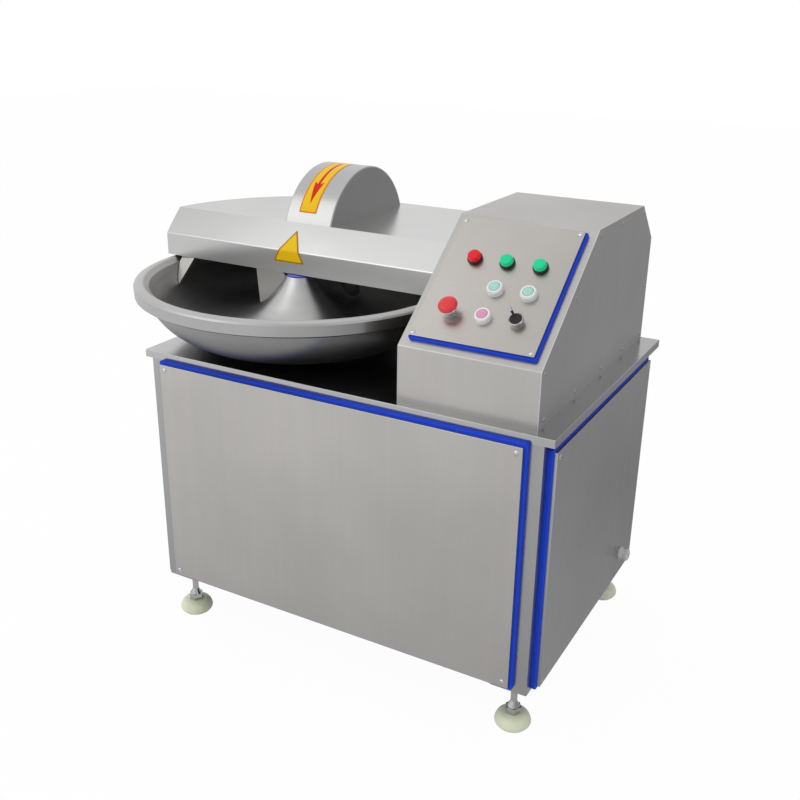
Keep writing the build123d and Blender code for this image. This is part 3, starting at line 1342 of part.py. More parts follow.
barrel_radius = device_hole - barrel_gap
barrel = [(0, -barrel_length), (barrel_radius, -barrel_length), (barrel_radius, 0)]

with BuildPart() as lamp_bases:
    socket = lamp_radius + running_gap
    lamp_base_section = barrel + [
        (lamp_base_radius, 0), (lamp_base_radius, lamp_base_height - 1.5),
        (lamp_base_radius - 1, lamp_base_height),
        (socket, lamp_base_height), (socket, lamp_seat), (0, lamp_seat)]
    for spot in lamp_spots:
        add(turned(spot, lamp_base_section))
finish(lamp_bases, "lamp_bases")

# A lens with a step round its crown.
lens_step = lamp_seat + 0.6 * (lamp_height - lamp_seat)
lens_section = [(0, lamp_seat), (lamp_radius, lamp_seat),
                (lamp_radius, lens_step - 1), (lamp_radius - 1, lens_step),
                (lamp_radius - 1, lamp_height - 2), (lamp_radius - 3, lamp_height - 0.5), (0, lamp_height)]
with BuildPart() as red_lamp:
    add(turned(red_lamp_spot, lens_section))
finish(red_lamp, "red_lamp")

with BuildPart() as green_lamps:
    for spot in green_lamp_spots:
        add(turned(spot, lens_section))
finish(green_lamps, "green_lamps")

button_seat_gap = 0.2
button_crown = 1.0
bezel_floor = bezel_height - button_travel - 4.0
bezel_mouth = button_radius + running_gap
with BuildPart() as button_bezels:
    bezel_section = barrel + [
        (bezel_radius, 0), (bezel_radius, bezel_height - 3), (bezel_radius - 2, bezel_height),
        (bezel_mouth + 0.5, bezel_height), (bezel_mouth, bezel_floor), (0, bezel_floor)]
    for spot in bezel_spots:
        add(turned(spot, bezel_section))
finish(button_bezels, "button_bezels")

button_foot = bezel_floor + button_travel + button_seat_gap
button_section = [(0, button_foot), (button_radius, button_foot), (button_radius, bezel_height),
                  (button_radius - 1.5, bezel_height + button_crown), (0, bezel_height + button_crown + 0.5)]
for name, spot in (("left_start_button", left_button_spot), ("right_start_button", right_button_spot),
                   ("stop_button", pink_button_spot)):
    with BuildPart() as push_button:
        add(turned(spot, button_section))
    finish(push_button, name)

cup_outside = barrel + [(cup_foot_radius, 0), (cup_foot_radius + 0.5, 3), (cup_radius, cup_height * 0.6),
                        (cup_radius, cup_height - 1.5), (cup_radius - 1.5, cup_height)]
estop_head_foot = cup_height + estop_travel + barrel_gap
estop_stem_foot = estop_travel + barrel_gap
with BuildPart() as switch_bases:
    stem_hole = estop_stem_radius + running_gap
    stem_floor = estop_stem_foot - estop_travel - button_seat_gap
    add(turned(estop_spot, cup_outside + [(stem_hole, cup_height), (stem_hole, stem_floor), (0, stem_floor)]))
    disc_hole = selector_disc_radius + running_gap
    add(turned(selector_spot, cup_outside + [(disc_hole, cup_height), (disc_hole, selector_disc_seat),
                                             (0, selector_disc_seat)]))
finish(switch_bases, "switch_bases")

with BuildPart() as estop_head:
    head_top = estop_head_foot + estop_head_height
    add(turned(estop_spot, [
        (0, estop_stem_foot), (estop_stem_radius, estop_stem_foot), (estop_stem_radius, estop_head_foot),
        (estop_head_radius - 2, estop_head_foot), (estop_head_radius, estop_head_foot + 2.5),
        (estop_head_radius - 0.5, head_top - 7), (estop_head_radius - 4, head_top - 3),
        (estop_head_radius - 11, head_top - 0.5), (0, head_top)]))
finish(estop_head, "estop_head")

with BuildPart() as selector_knob:
    disc_top = cup_height + 1.5
    add(turned(selector_spot, [
        (0, selector_disc_seat + button_seat_gap),
        (selector_disc_radius, selector_disc_seat + button_seat_gap),
        (selector_disc_radius, disc_top - 1), (selector_disc_radius - 1, disc_top), (0, disc_top)]))
    lever_plane = device_plane.offset(disc_top - selector_lever_radius)
    lever_foot = lever_plane.from_local_coords(Vector(*selector_spot))
    aside = -sin(radians(selector_turn)) * device_plane.x_dir
    along = cos(radians(selector_turn)) * device_plane.y_dir
    lever_way = (cos(radians(selector_lever_tilt)) * (aside + along)
                 + sin(radians(selector_lever_tilt)) * device_plane.z_dir)
    with BuildSketch(Plane(origin=lever_foot, z_dir=lever_way)):
        Circle(selector_lever_radius)
    extrude(amount=selector_lever_length)
    lever_end = selector_knob.faces().sort_by(Axis(lever_foot, lever_way))[-1]
    fillet(lever_end.edges(), selector_lever_radius * 0.6)
finish(selector_knob, "selector_knob")
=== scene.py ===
"""Finishes, stickers and studio for the meat bowl cutter."""

import json
from math import asin, atan2, cos, degrees, pi, radians, sin, tan

import bmesh
import bpy
from mathutils import Matrix, Vector


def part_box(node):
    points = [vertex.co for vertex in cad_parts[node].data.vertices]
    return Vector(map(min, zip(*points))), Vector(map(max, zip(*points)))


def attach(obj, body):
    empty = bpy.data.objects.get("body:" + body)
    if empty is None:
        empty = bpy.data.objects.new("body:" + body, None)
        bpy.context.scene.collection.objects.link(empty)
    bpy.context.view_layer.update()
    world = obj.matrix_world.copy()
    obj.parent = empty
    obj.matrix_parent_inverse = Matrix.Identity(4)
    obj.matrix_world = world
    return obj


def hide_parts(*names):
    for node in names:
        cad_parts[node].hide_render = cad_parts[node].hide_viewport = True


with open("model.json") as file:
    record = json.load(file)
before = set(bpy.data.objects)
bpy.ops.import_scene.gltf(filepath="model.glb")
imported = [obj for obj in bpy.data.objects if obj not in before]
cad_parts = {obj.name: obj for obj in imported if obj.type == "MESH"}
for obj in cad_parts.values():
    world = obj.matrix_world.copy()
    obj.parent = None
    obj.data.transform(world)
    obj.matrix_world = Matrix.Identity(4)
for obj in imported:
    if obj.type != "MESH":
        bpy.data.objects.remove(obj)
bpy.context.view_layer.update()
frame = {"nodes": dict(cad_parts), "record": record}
nodes = frame["nodes"]


# ---------------------------------------------------------------- node helpers
def new_material(name, colour, metallic=0.0, roughness=0.5):
    """A material with its Principled shader set, and the node tree to add to."""
    material = bpy.data.materials.new(name)
    material.use_nodes = True
    shader = material.node_tree.nodes["Principled BSDF"]
    shader.inputs["Base Color"].default_value = (*colour, 1.0)
    shader.inputs["Metallic"].default_value = metallic
    shader.inputs["Roughness"].default_value = roughness
    return material, material.node_tree, shader


def noise(tree, scale, stretch=(1.0, 1.0, 1.0), detail=2.0, offset=(0.0, 0.0, 0.0)):
    """Noise on the piece's own coordinates, stretched along an axis."""
    place = tree.nodes.new("ShaderNodeTexCoord")
    mapping = tree.nodes.new("ShaderNodeMapping")
    mapping.inputs["Location"].default_value = offset
    mapping.inputs["Scale"].default_value = stretch
    texture = tree.nodes.new("ShaderNodeTexNoise")
    texture.inputs["Scale"].default_value = scale
    texture.inputs["Detail"].default_value = detail
    tree.links.new(place.outputs["Object"], mapping.inputs["Vector"])
    tree.links.new(mapping.outputs["Vector"], texture.inputs["Vector"])
    return texture.outputs["Fac"]


def ramp(tree, value, low, high, start=0.3, end=0.7):
    """Maps a 0 to 1 pattern onto two numbers."""
    spread = tree.nodes.new("ShaderNodeMapRange")
    spread.inputs["From Min"].default_value = start
    spread.inputs["From Max"].default_value = end
    spread.inputs["To Min"].default_value = low
    spread.inputs["To Max"].default_value = high
    tree.links.new(value, spread.inputs["Value"])
    return spread.outputs["Result"]


def colours(tree, value, stops):
    """A colour ramp over a pattern; each stop is (position, colour)."""
    band = tree.nodes.new("ShaderNodeValToRGB")
    while len(band.color_ramp.elements) < len(stops):
        band.color_ramp.elements.new(0.5)
    for element, (position, colour) in zip(band.color_ramp.elements, stops):
        element.position = position
        element.color = (*colour, 1.0)
    tree.links.new(value, band.inputs["Fac"])
    return band.outputs["Color"]


def greys(tree, value, stops):
    """A ramp of grey shares over a pattern; each stop is (position, share)."""
    return colours(tree, value, [(position, (share,) * 3) for position, share in stops])


def multiply(tree, first, second):
    """The product of two colours."""
    product = tree.nodes.new("ShaderNodeMix")
    product.data_type = "RGBA"
    product.blend_type = "MULTIPLY"
    product.inputs["Factor"].default_value = 1.0
    tree.links.new(first, product.inputs[6])
    tree.links.new(second, product.inputs[7])
    return product.outputs[2]


def bump(tree, shader, value, strength, distance):
    relief = tree.nodes.new("ShaderNodeBump")
    relief.inputs["Strength"].default_value = strength
    relief.inputs["Distance"].default_value = distance
    tree.links.new(value, relief.inputs["Height"])
    tree.links.new(relief.outputs["Normal"], shader.inputs["Normal"])


def shade(colour, factor):
    return tuple(channel * factor for channel in colour)


# ---------------------------------------------------------------- places read from the frame
def middle(node, axis):
    low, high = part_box(node)
    return (low[axis] + high[axis]) / 2


bowl_x, bowl_y = middle("bowl", 0), middle("bowl", 1)
shaft_y, shaft_z = middle("knife_pulley", 1), middle("knife_pulley", 2)

# ---------------------------------------------------------------- finishes
front_steel = (0.50, 0.485, 0.47)
# Painted shade: the side panels take a darker copy of the sheet steel's tone.
side_steel_painted_shade = (0.36, 0.362, 0.37)
# Painted light: a lighter copy of the sheet steel's tone for the console's side cover.
cover_steel_painted_light = (0.60, 0.60, 0.61)
hood_steel = (0.52, 0.517, 0.515)
bowl_tone = (0.48, 0.477, 0.475)
grain_up = (1.0, 1.0, 0.012)
grain_along_x = (0.012, 1.0, 1.0)
# Painted reflections: slow changes of tone painted into the steel's colour in place of reflected light,
# given as axis, from where, to where and end share.
hood_painted_reflection = ("X", -0.5, 0.1, 1.22)
plate_painted_reflection = ("X", 0.18, 0.48, 0.84)
panel_painted_reflection = ("Z", 0.1, 0.65, 1.45)
no_painted_reflection = ("X", -0.5, 0.1, 1.0)


def brushed(name, colour, grain, roughness=0.34, unevenness=1.0, streaks=0.012, relief=0.05, painted_reflection=no_painted_reflection):
    """Sheet steel with fine lines along the grain, wider pale streaks and soft clouds from handling.

    The painted reflection is a slow change of tone along an axis, painted into the colour in place of
    reflected light: from where, to where, and how much brighter it ends.
    """
    material, tree, shader = new_material(name, colour, metallic=1.0)
    lines = noise(tree, 900.0, grain, detail=3.0)
    bands = noise(tree, 60.0, grain, detail=2.0)
    clouds = noise(tree, 3.5, detail=3.0)
    tone = colours(tree, clouds, [(0.30, shade(colour, 0.95)), (0.70, shade(colour, 1.05))])
    streak = greys(tree, bands, [(0.30, 1.0 - streaks), (0.70, 1.0 + streaks)])
    place = tree.nodes.new("ShaderNodeTexCoord")
    across = tree.nodes.new("ShaderNodeSeparateXYZ")
    tree.links.new(place.outputs["Object"], across.inputs["Vector"])
    # Painted reflection: the colour grows brighter or darker along the axis in place of reflected light.
    reflection_axis, reflection_start, reflection_end, reflection_share = painted_reflection
    side = greys(tree, ramp(tree, across.outputs[reflection_axis], 0.0, 1.0, reflection_start, reflection_end),
                 [(0.0, 1.0), (1.0, reflection_share)])
    tree.links.new(multiply(tree, multiply(tree, tone, streak), side), shader.inputs["Base Color"])
    tree.links.new(ramp(tree, lines, roughness - 0.06 * unevenness, roughness + 0.08 * unevenness),
                   shader.inputs["Roughness"])
    bump(tree, shader, lines, relief, 0.0002)
    return material


def spun(name, colour, centre):
    """Spun steel: soft bands about an upright axis, satin inside, dull on the underside, with painted shade
    that darkens faces turning down.
    """
    material, tree, shader = new_material(name, colour, metallic=1.0)
    place = tree.nodes.new("ShaderNodeTexCoord")
    mapping = tree.nodes.new("ShaderNodeMapping")
    mapping.inputs["Location"].default_value = (-centre[0], -centre[1], 0.0)
    rings = tree.nodes.new("ShaderNodeTexWave")
    rings.wave_type = "RINGS"
    rings.rings_direction = "Z"
    rings.inputs["Scale"].default_value = 14.0
    rings.inputs["Distortion"].default_value = 2.0
    rings.inputs["Detail"].default_value = 2.0
    rings.inputs["Detail Scale"].default_value = 1.5
    tree.links.new(place.outputs["Object"], mapping.inputs["Vector"])
    tree.links.new(mapping.outputs["Vector"], rings.inputs["Vector"])
    clouds = noise(tree, 5.0, detail=3.0)
    tone = colours(tree, clouds, [(0.30, shade(colour, 0.94)), (0.70, shade(colour, 1.04))])
    bands = greys(tree, rings.outputs["Fac"], [(0.0, 0.985), (1.0, 1.015)])
    surface = tree.nodes.new("ShaderNodeNewGeometry")
    facing = tree.nodes.new("ShaderNodeSeparateXYZ")
    tree.links.new(surface.outputs["Normal"], facing.inputs["Vector"])
    half_down = ramp(tree, facing.outputs["Z"], 0.0, 1.0, -1.0, 1.0)
    # Painted shade: the colour falls to half on faces that turn down, in place of the shadow under the bowl.
    shadow = greys(tree, half_down, [(0.10, 0.50), (0.32, 0.72), (0.50, 0.90), (0.62, 1.0)])
    steel = multiply(tree, multiply(tree, tone, bands), shadow)
    tree.links.new(steel, shader.inputs["Base Color"])
    dullness = greys(tree, half_down, [(0.20, 0.40), (0.44, 0.20), (0.56, 0.20), (0.72, 0.36)])
    tree.links.new(dullness, shader.inputs["Roughness"])
    return material


def machined(name, colour, roughness, metallic=1.0):
    """Small metal pieces with a fine uneven polish."""
    material, tree, shader = new_material(name, colour, metallic=metallic)
    grain = noise(tree, 400.0, detail=2.0)
    clouds = noise(tree, 30.0, detail=2.0)
    tone = colours(tree, clouds, [(0.30, shade(colour, 0.93)), (0.70, shade(colour, 1.05))])
    tree.links.new(tone, shader.inputs["Base Color"])
    tree.links.new(ramp(tree, grain, roughness - 0.04, roughness + 0.06), shader.inputs["Roughness"])
    bump(tree, shader, grain, 0.04, 0.0002)
    return material


def moulded(name, colour, roughness, spread=0.04, relief=0.05, coat=0.0, gloss=0.5):
    """Plastic, rubber or paint with a soft mottle and a fine skin."""
    material, tree, shader = new_material(name, colour)
    mottle = noise(tree, 60.0, detail=3.0)
    skin = noise(tree, 1200.0, detail=1.0)
    light, dark = shade(colour, 1.0 + spread), shade(colour, 1.0 - spread)
    tone = colours(tree, mottle, [(0.30, dark), (0.70, light)])
    tree.links.new(tone, shader.inputs["Base Color"])
    tree.links.new(ramp(tree, mottle, roughness - 0.04, roughness + 0.04), shader.inputs["Roughness"])
    shader.inputs["Coat Weight"].default_value = coat
    shader.inputs["Specular IOR Level"].default_value = gloss
    bump(tree, shader, skin, relief, 0.0002)
    return material


finishes = {
    "sheet_steel": brushed("sheet_steel", front_steel, grain_up),
    "frame_steel": brushed("frame_steel", (0.40, 0.40, 0.405), grain_up, roughness=0.30),
    "worktop_steel": brushed("worktop_steel", (0.45, 0.45, 0.455), grain_along_x, roughness=0.17),
    "bowl_steel": spun("bowl_steel", bowl_tone, (bowl_x, bowl_y)),
    "knife_steel": machined("knife_steel", (0.55, 0.55, 0.55), 0.22),
    "plain_steel": machined("plain_steel", (0.42, 0.42, 0.43), 0.30),
    "chrome": machined("chrome", (0.50, 0.50, 0.51), 0.10),
    "blue_seal": moulded("blue_seal", (0.003, 0.05, 0.62), 0.50, gloss=0.25),
    "black_rubber": moulded("black_rubber", (0.02, 0.02, 0.021), 0.55),
    "foot_plastic": moulded("foot_plastic", (0.76, 0.80, 0.60), 0.42),
    "cap_blue": moulded("cap_blue", (0.02, 0.05, 0.45), 0.30, coat=0.5),
    "cast_housing": machined("cast_housing", (0.35, 0.36, 0.37), 0.42),
    "motor_paint": moulded("motor_paint", (0.14, 0.18, 0.22), 0.38, coat=0.4),
    "lamp_black": moulded("lamp_black", (0.01, 0.01, 0.01), 0.35, gloss=0.35),
    "red_lens": moulded("red_lens", (0.80, 0.0, 0.008), 0.16, coat=0.25, gloss=0.25),
    "green_lens": moulded("green_lens", (0.0, 0.66, 0.30), 0.16, coat=0.25, gloss=0.25),
    "bezel_white": moulded("bezel_white", (0.80, 0.81, 0.81), 0.25, coat=0.5),
    "mint_cap": moulded("mint_cap", (0.36, 0.68, 0.60), 0.30, coat=0.2),
    "pink_cap": moulded("pink_cap", (0.72, 0.30, 0.47), 0.30, coat=0.2),
    "estop_red": moulded("estop_red", (0.76, 0.035, 0.045), 0.32, coat=0.1, gloss=0.35),
    "selector_black": moulded("selector_black", (0.008, 0.008, 0.008), 0.30, gloss=0.35),
    "gland_grey": moulded("gland_grey", (0.62, 0.62, 0.62), 0.35),
    "screw_steel": machined("screw_steel", (0.62, 0.62, 0.63), 0.12),
    "sticker_yellow": moulded("sticker_yellow", (0.88, 0.55, 0.0), 0.35, spread=0.02, gloss=0.2),
    "sticker_amber": moulded("sticker_amber", (0.42, 0.20, 0.0), 0.35, spread=0.02, gloss=0.2),
    "sticker_orange": moulded("sticker_orange", (0.80, 0.20, 0.0), 0.35, spread=0.02, gloss=0.2),
    "sticker_red": moulded("sticker_red", (0.64, 0.012, 0.008), 0.35, spread=0.02, gloss=0.2),
}
special_finishes = {
    # Painted shade and reflection: the side panels take a darker tone of the sheet steel, painted up to 45%
    # brighter towards the top.
    "right_panel": brushed("side_panel_steel", side_steel_painted_shade, grain_up, painted_reflection=panel_painted_reflection),
    # Painted light: the console's side cover takes a lighter tone of the sheet steel.
    "console_side_cover": brushed("cover_steel", cover_steel_painted_light, grain_up, roughness=0.36),
    # Painted reflection: the hood's colour grows 22% brighter towards its right end.
    "hood": brushed("hood_steel", hood_steel, grain_along_x, roughness=0.24, unevenness=0.2,
                    streaks=0.004, relief=0.002, painted_reflection=hood_painted_reflection),
    # Painted shade: the knife guard takes the hood's steel tone darkened by a tenth.
    "knife_guard": brushed("guard_steel", shade(hood_steel, 0.90), grain_along_x, roughness=0.26,
                           unevenness=0.2, streaks=0.004, relief=0.002),
    # Painted reflection: the plate's colour grows 16% darker towards its right end.
    "control_plate": brushed("plate_steel", (0.53, 0.505, 0.48), grain_along_x, roughness=0.32,
                             streaks=0.006, relief=0.02, painted_reflection=plate_painted_reflection),
}
special_finishes["left_panel"] = special_finishes["right_panel"]
slots = {part["node"]: part["material_slot"] for part in frame["record"]["subparts"]}
for node_name, node in nodes.items():
    node.data.materials.clear()
    node.data.materials.append(special_finishes.get(node_name, finishes[slots[node_name]]))


# ---------------------------------------------------------------- piece helpers
def piece(name, shape, finish, body, sharp=0.6):
    """Makes a bmesh into a piece: smooth, but sharp where faces meet at a larger angle."""
    bmesh.ops.remove_doubles(shape, verts=shape.verts, dist=0.00001)
    bmesh.ops.recalc_face_normals(shape, faces=shape.faces)
    for polygon in shape.faces:
        polygon.smooth = True
    for edge in shape.edges:
        edge.smooth = len(edge.link_faces) == 2 and edge.calc_face_angle() < sharp
    mesh = bpy.data.meshes.new(name)
    shape.to_mesh(mesh)
    shape.free()
    mesh.materials.append(finish)
    made = bpy.data.objects.new(name, mesh)
    bpy.context.scene.collection.objects.link(made)
    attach(made, body)
    return made


def arc(centre, radius, start, end, steps):
    """Points (radius, height) on a circle from one angle to another, in degrees."""
    angles = [radians(start + (end - start) * step / steps) for step in range(steps + 1)]
    return [(centre[0] + radius * cos(angle), centre[1] + radius * sin(angle)) for angle in angles]


def lathe(shape, profile, segments=48):
    """Spins a closed profile of (radius, height) about the upright axis; returns the new points."""
    before = set(shape.verts)
    points = [shape.verts.new((radius, 0.0, height)) for radius, height in profile]
    edges = [shape.edges.new((points[i], points[i + 1])) for i in range(len(points) - 1)]
    bmesh.ops.spin(shape, geom=points + edges, cent=(0, 0, 0), axis=(0, 0, 1), angle=2 * pi,
                   steps=segments, use_merge=True)
    return [vert for vert in shape.verts if vert not in before]


def put(shape, points, place, up=(0, 0, 1)):
    """Turns points made about the upright axis towards up, and moves them to their place."""
    turn = Vector((0, 0, 1)).rotation_difference(Vector(up)).to_matrix()
    bmesh.ops.transform(shape, matrix=Matrix.Translation(place) @ turn.to_4x4(), verts=points)


def loose_parts(node):
    """The separate solids of a CAD node, each as a list of its points."""
    shape = bmesh.new()
    shape.from_mesh(nodes[node].data)
    bmesh.ops.remove_doubles(shape, verts=shape.verts, dist=0.00001)
    waiting = set(shape.verts)
    parts = []
    while waiting:
        queue = [waiting.pop()]
        part = []
        while queue:
            vert = queue.pop()
            part.append(vert.co.copy())
            for edge in vert.link_edges:
                other = edge.other_vert(vert)
                if other in waiting:
                    waiting.remove(other)
                    queue.append(other)
        parts.append(part)
    shape.free()
    return parts


def raise_sheet(shape, height):
    """Gives the flat faces of a shape their thickness."""
    raised = bmesh.ops.extrude_face_region(shape, geom=shape.faces[:])["geom"]
    corners = [part for part in raised if isinstance(part, bmesh.types.BMVert)]
    bmesh.ops.translate(shape, vec=(0, 0, height), verts=corners)


def outer_end(points, out):
    """The middle of a part's outermost face along a direction."""
    out = Vector(out).normalized()
    reach = max(point.dot(out) for point in points)
    end = [point for point in points if point.dot(out) > reach - 0.00002]
    return sum(end, Vector()) / len(end)


def carve(shape, cutter):
    """The mesh of a shape with the cutter's room taken out of it."""
    working = []
    for form in (shape, cutter):
        bmesh.ops.remove_doubles(form, verts=form.verts, dist=0.00001)
        bmesh.ops.recalc_face_normals(form, faces=form.faces)
        mesh = bpy.data.meshes.new("working")
        form.to_mesh(mesh)
        form.free()
        working.append(bpy.data.objects.new("working", mesh))
        bpy.context.scene.collection.objects.link(working[-1])
    cut = working[0].modifiers.new("cut", "BOOLEAN")
    cut.operation = "DIFFERENCE"
    cut.solver = "EXACT"
    cut.use_self = True
    cut.object = working[1]
    evaluated = working[0].evaluated_get(bpy.context.evaluated_depsgraph_get())
    carved = bpy.data.meshes.new_from_object(evaluated)
    for form in working:
        bpy.data.objects.remove(form)
    return carved


# ---------------------------------------------------------------- screws with a cross recess
def screw_head(radius, height):
    """One domed head that stands on the origin."""
    crown = height * 0.9
    dome_radius = (radius ** 2 + crown ** 2) / (2 * crown)
    edge_angle = 90 - degrees(asin(radius / dome_radius))
    head = bmesh.new()
    dome = arc((0.0, height - dome_radius), dome_radius, 90, edge_angle, 7)
    lathe(head, dome + [(radius, 0.0), (0.0, 0.0)], 24)
    recess = bmesh.new()
    depth = height * 0.5
    for turn in (0.5, 0.5 + pi / 2):
        bar = bmesh.ops.create_cube(recess, size=1.0)["verts"]
        size = Matrix.Diagonal((radius * 1.2, radius * 0.26, depth, 1.0))
        lift = Matrix.Translation((0, 0, height - depth * 0.4))
        bmesh.ops.transform(recess, matrix=lift @ Matrix.Rotation(turn, 4, "Z") @ size, verts=bar)
    return carve(head, recess)


def cross_screws(name, node, radius, height, way_out):
    """Screw heads in the places of a node's screws; way_out gives each one's way out of the sheet."""
    head = screw_head(radius, height)
    shape = bmesh.new()
    for points in loose_parts(node):
        out = way_out(points)
        start = len(shape.verts)
        shape.from_mesh(head)
        shape.verts.ensure_lookup_table()
        put(shape, shape.verts[start:], outer_end(points, out) - Vector(out) * height, out)
    heads = piece(name, shape, finishes["screw_steel"], "cabinet")
    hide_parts(node)


def out_of_cabinet(points):
    """Panel screws lie along X or Y and point away from the middle of the cabinet."""
    spans = [max(point[axis] for point in points) - min(point[axis] for point in points) for axis in (0, 1)]
    axis = spans.index(max(spans))
    out = [0.0, 0.0, 0.0]
    out[axis] = 1.0 if points[0][axis] > 0 else -1.0
    return out


def out_of_console(points):
    """Cover screws point to the right, plate screws out of the slope."""
    return (1.0, 0.0, 0.0) if max(point.x for point in points) > cover_face else slope_out


cover_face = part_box("console_side_cover")[1][0]
slope_rise, slope_run = 0.217, 0.2725
console_slope = atan2(slope_rise, slope_run)
slope_out = (0.0, -sin(console_slope), cos(console_slope))
slope_up = (0.0, cos(console_slope), sin(console_slope))
panel_head_radius, panel_head_height = 0.0058, 0.0032
plate_head_radius, plate_head_height = 0.0055, 0.0024
cross_screws("panel_screw_heads", "panel_screws", panel_head_radius, panel_head_height, out_of_cabinet)
cross_screws("console_screw_heads", "console_screws", plate_head_radius, plate_head_height, out_of_console)


# ---------------------------------------------------------------- levelling pads
pad_radius, pad_height, pad_neck, pad_socket = 0.040, 0.031, 0.0133, 0.008
rim_roundness, dome_roundness = 0.010, 0.0175
socket_floor = pad_height - pad_socket
pad_profile = ([(0.0, 0.0), (pad_radius * 0.84, 0.0)]
               + arc((pad_radius - rim_roundness, 0.011), rim_roundness, -70, 20, 6)
               + arc((0.021, pad_height - dome_roundness), dome_roundness, 25, 90, 7)
               + [(pad_neck, pad_height), (pad_neck, socket_floor), (0.0, socket_floor)])
pads = bmesh.new()
for stem in loose_parts("foot_stems"):
    foot = outer_end(stem, (0, 0, -1))
    put(pads, lathe(pads, pad_profile, 64), (foot.x, foot.y, 0.0))
pads = piece("levelling_pads", pads, finishes["foot_plastic"], "cabinet")
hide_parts("foot_pads")


# ---------------------------------------------------------------- seal under the control plate
def along_slope(node):
    """Lowest and highest place of a node across the slope, up the slope and out of it."""
    points = [vert.co for vert in nodes[node].data.vertices]
    measures = [[point.dot(Vector(way)) for point in points] for way in ((1, 0, 0), slope_up, slope_out)]
    return [min(measure) for measure in measures], [max(measure) for measure in measures]


plate_low, plate_high = along_slope("control_plate")
seal_low, seal_high = along_slope("control_plate_seal")
flush = 0.0005
seal_bar, seal_roundness = 0.020, 0.004
seal_left, seal_right = plate_low[0] - flush, seal_high[0]
seal_foot, seal_head = seal_low[1], plate_high[1] + flush
seal = bmesh.new()
sheet = bmesh.ops.create_grid(seal, x_segments=1, y_segments=1, size=0.5)["verts"]
bmesh.ops.scale(seal, vec=(seal_right - seal_left, seal_head - seal_foot, 1.0), verts=sheet)
bmesh.ops.inset_region(seal, faces=seal.faces[:], thickness=seal_bar, use_boundary=True)
hole = min(seal.faces, key=lambda polygon: polygon.calc_center_median().length)
bmesh.ops.delete(seal, geom=[hole], context="FACES")
seal_depth = seal_high[2] - seal_low[2]
raise_sheet(seal, seal_depth)
outer_reach = (seal_right - seal_left) / 2 - seal_bar / 2
corners = [edge for edge in seal.edges if abs(edge.verts[0].co.z - edge.verts[1].co.z) > seal_depth / 2
           and abs(edge.verts[0].co.x) > outer_reach]
bmesh.ops.bevel(seal, geom=corners, offset=seal_roundness, segments=4, affect="EDGES", profile=0.5,
                material=-1)
slope_turn = Matrix.Rotation(console_slope, 4, "X")
seal_middle = (Vector((1, 0, 0)) * (seal_left + seal_right) / 2
               + Vector(slope_up) * (seal_foot + seal_head) / 2 + Vector(slope_out) * seal_low[2])
bmesh.ops.transform(seal, matrix=Matrix.Translation(seal_middle) @ slope_turn, verts=seal.verts)
seal = piece("plate_seal", seal, finishes["blue_seal"], "cabinet")
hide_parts("control_plate_seal")


# ---------------------------------------------------------------- stickers on the hood
patch_thickness = 0.0002
cut_pitch = 0.004               # between the bends of a patch


def sticker(name, outline, finish, lift, corner, bend):
    """A thin patch, drawn flat as (across, along), raised by the lift and bent over its place."""
    shape = bmesh.new()
    shape.faces.new([shape.verts.new((x, y, lift)) for x, y in outline])
    if corner:
        bmesh.ops.bevel(shape, geom=shape.verts[:], offset=corner, segments=4, affect="VERTICES",
                        profile=0.5, material=-1)
    lengths = [y for _, y in outline]
    for step in range(1, int((max(lengths) - min(lengths)) / cut_pitch)):
        bmesh.ops.bisect_plane(shape, geom=shape.verts[:] + shape.edges[:] + shape.faces[:],
                               plane_co=(0, min(lengths) + step * cut_pitch, 0), plane_no=(0, 1, 0))
    raise_sheet(shape, patch_thickness)
    for vert in shape.verts:
        vert.co = bend(*vert.co)
    return piece(name, shape, finish, "lid")


guard_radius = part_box("knife_guard")[1][2] - shaft_z


def round_guard(across, along, lift):
    angle = along / guard_radius
    reach = guard_radius + lift
    return (across, shaft_y - reach * cos(angle), shaft_z + reach * sin(angle))


arrow_band = (-0.281, -0.233)
band_foot, band_head = radians(28) * guard_radius, radians(93) * guard_radius
band_middle = sum(arrow_band) / 2
band_edge = 0.0035
arrow_half, shaft_half = 0.0125, 0.0036
arrow_tip, arrow_neck, arrow_tail = band_foot + 0.022, band_foot + 0.085, band_head - 0.012
arrow_shoulder = arrow_neck - 0.006
edge_lift, face_lift, arrow_lift = 0.0001, 0.0003, 0.0005


def rectangle(x_low, x_high, y_low, y_high):
    return [(x_low, y_low), (x_high, y_low), (x_high, y_high), (x_low, y_high)]


sticker("arrow_sticker_edge", rectangle(*arrow_band, band_foot, band_head), finishes["sticker_orange"],
        edge_lift, 0.003, round_guard)
sticker("arrow_sticker", rectangle(arrow_band[0] + band_edge, arrow_band[1] - band_edge,
                                   band_foot + band_edge, band_head - band_edge),
        finishes["sticker_yellow"], face_lift, 0.002, round_guard)
sticker("turning_arrow", [
    (band_middle, arrow_tip), (band_middle + arrow_half, arrow_neck),
    (band_middle + shaft_half, arrow_shoulder), (band_middle + shaft_half * 0.8, arrow_tail),
    (band_middle - shaft_half * 0.8, arrow_tail), (band_middle - shaft_half, arrow_shoulder),
    (band_middle - arrow_half, arrow_neck)], finishes["sticker_red"], arrow_lift, 0.0, round_guard)

hood_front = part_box("hood")[0][1]
fold_rise, fold_run = 0.053, 0.056
fold_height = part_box("hood")[0][2] + fold_rise
fold_radius = 0.005
fold_angle = atan2(fold_rise, fold_run)
fold_start = fold_height - fold_radius * tan(fold_angle / 2)


def over_fold(across, along, lift):
    """Up the hood's front wall, round its fold and up the slope."""
    past = along + fold_radius * fold_angle / 2
    angle = min(max(past / fold_radius, 0.0), fold_angle)
    straight = past - angle * fold_radius
    reach = fold_radius + lift
    return (across, hood_front + fold_radius - reach * cos(angle) + straight * sin(angle),
            fold_start + reach * sin(angle) + straight * cos(angle))


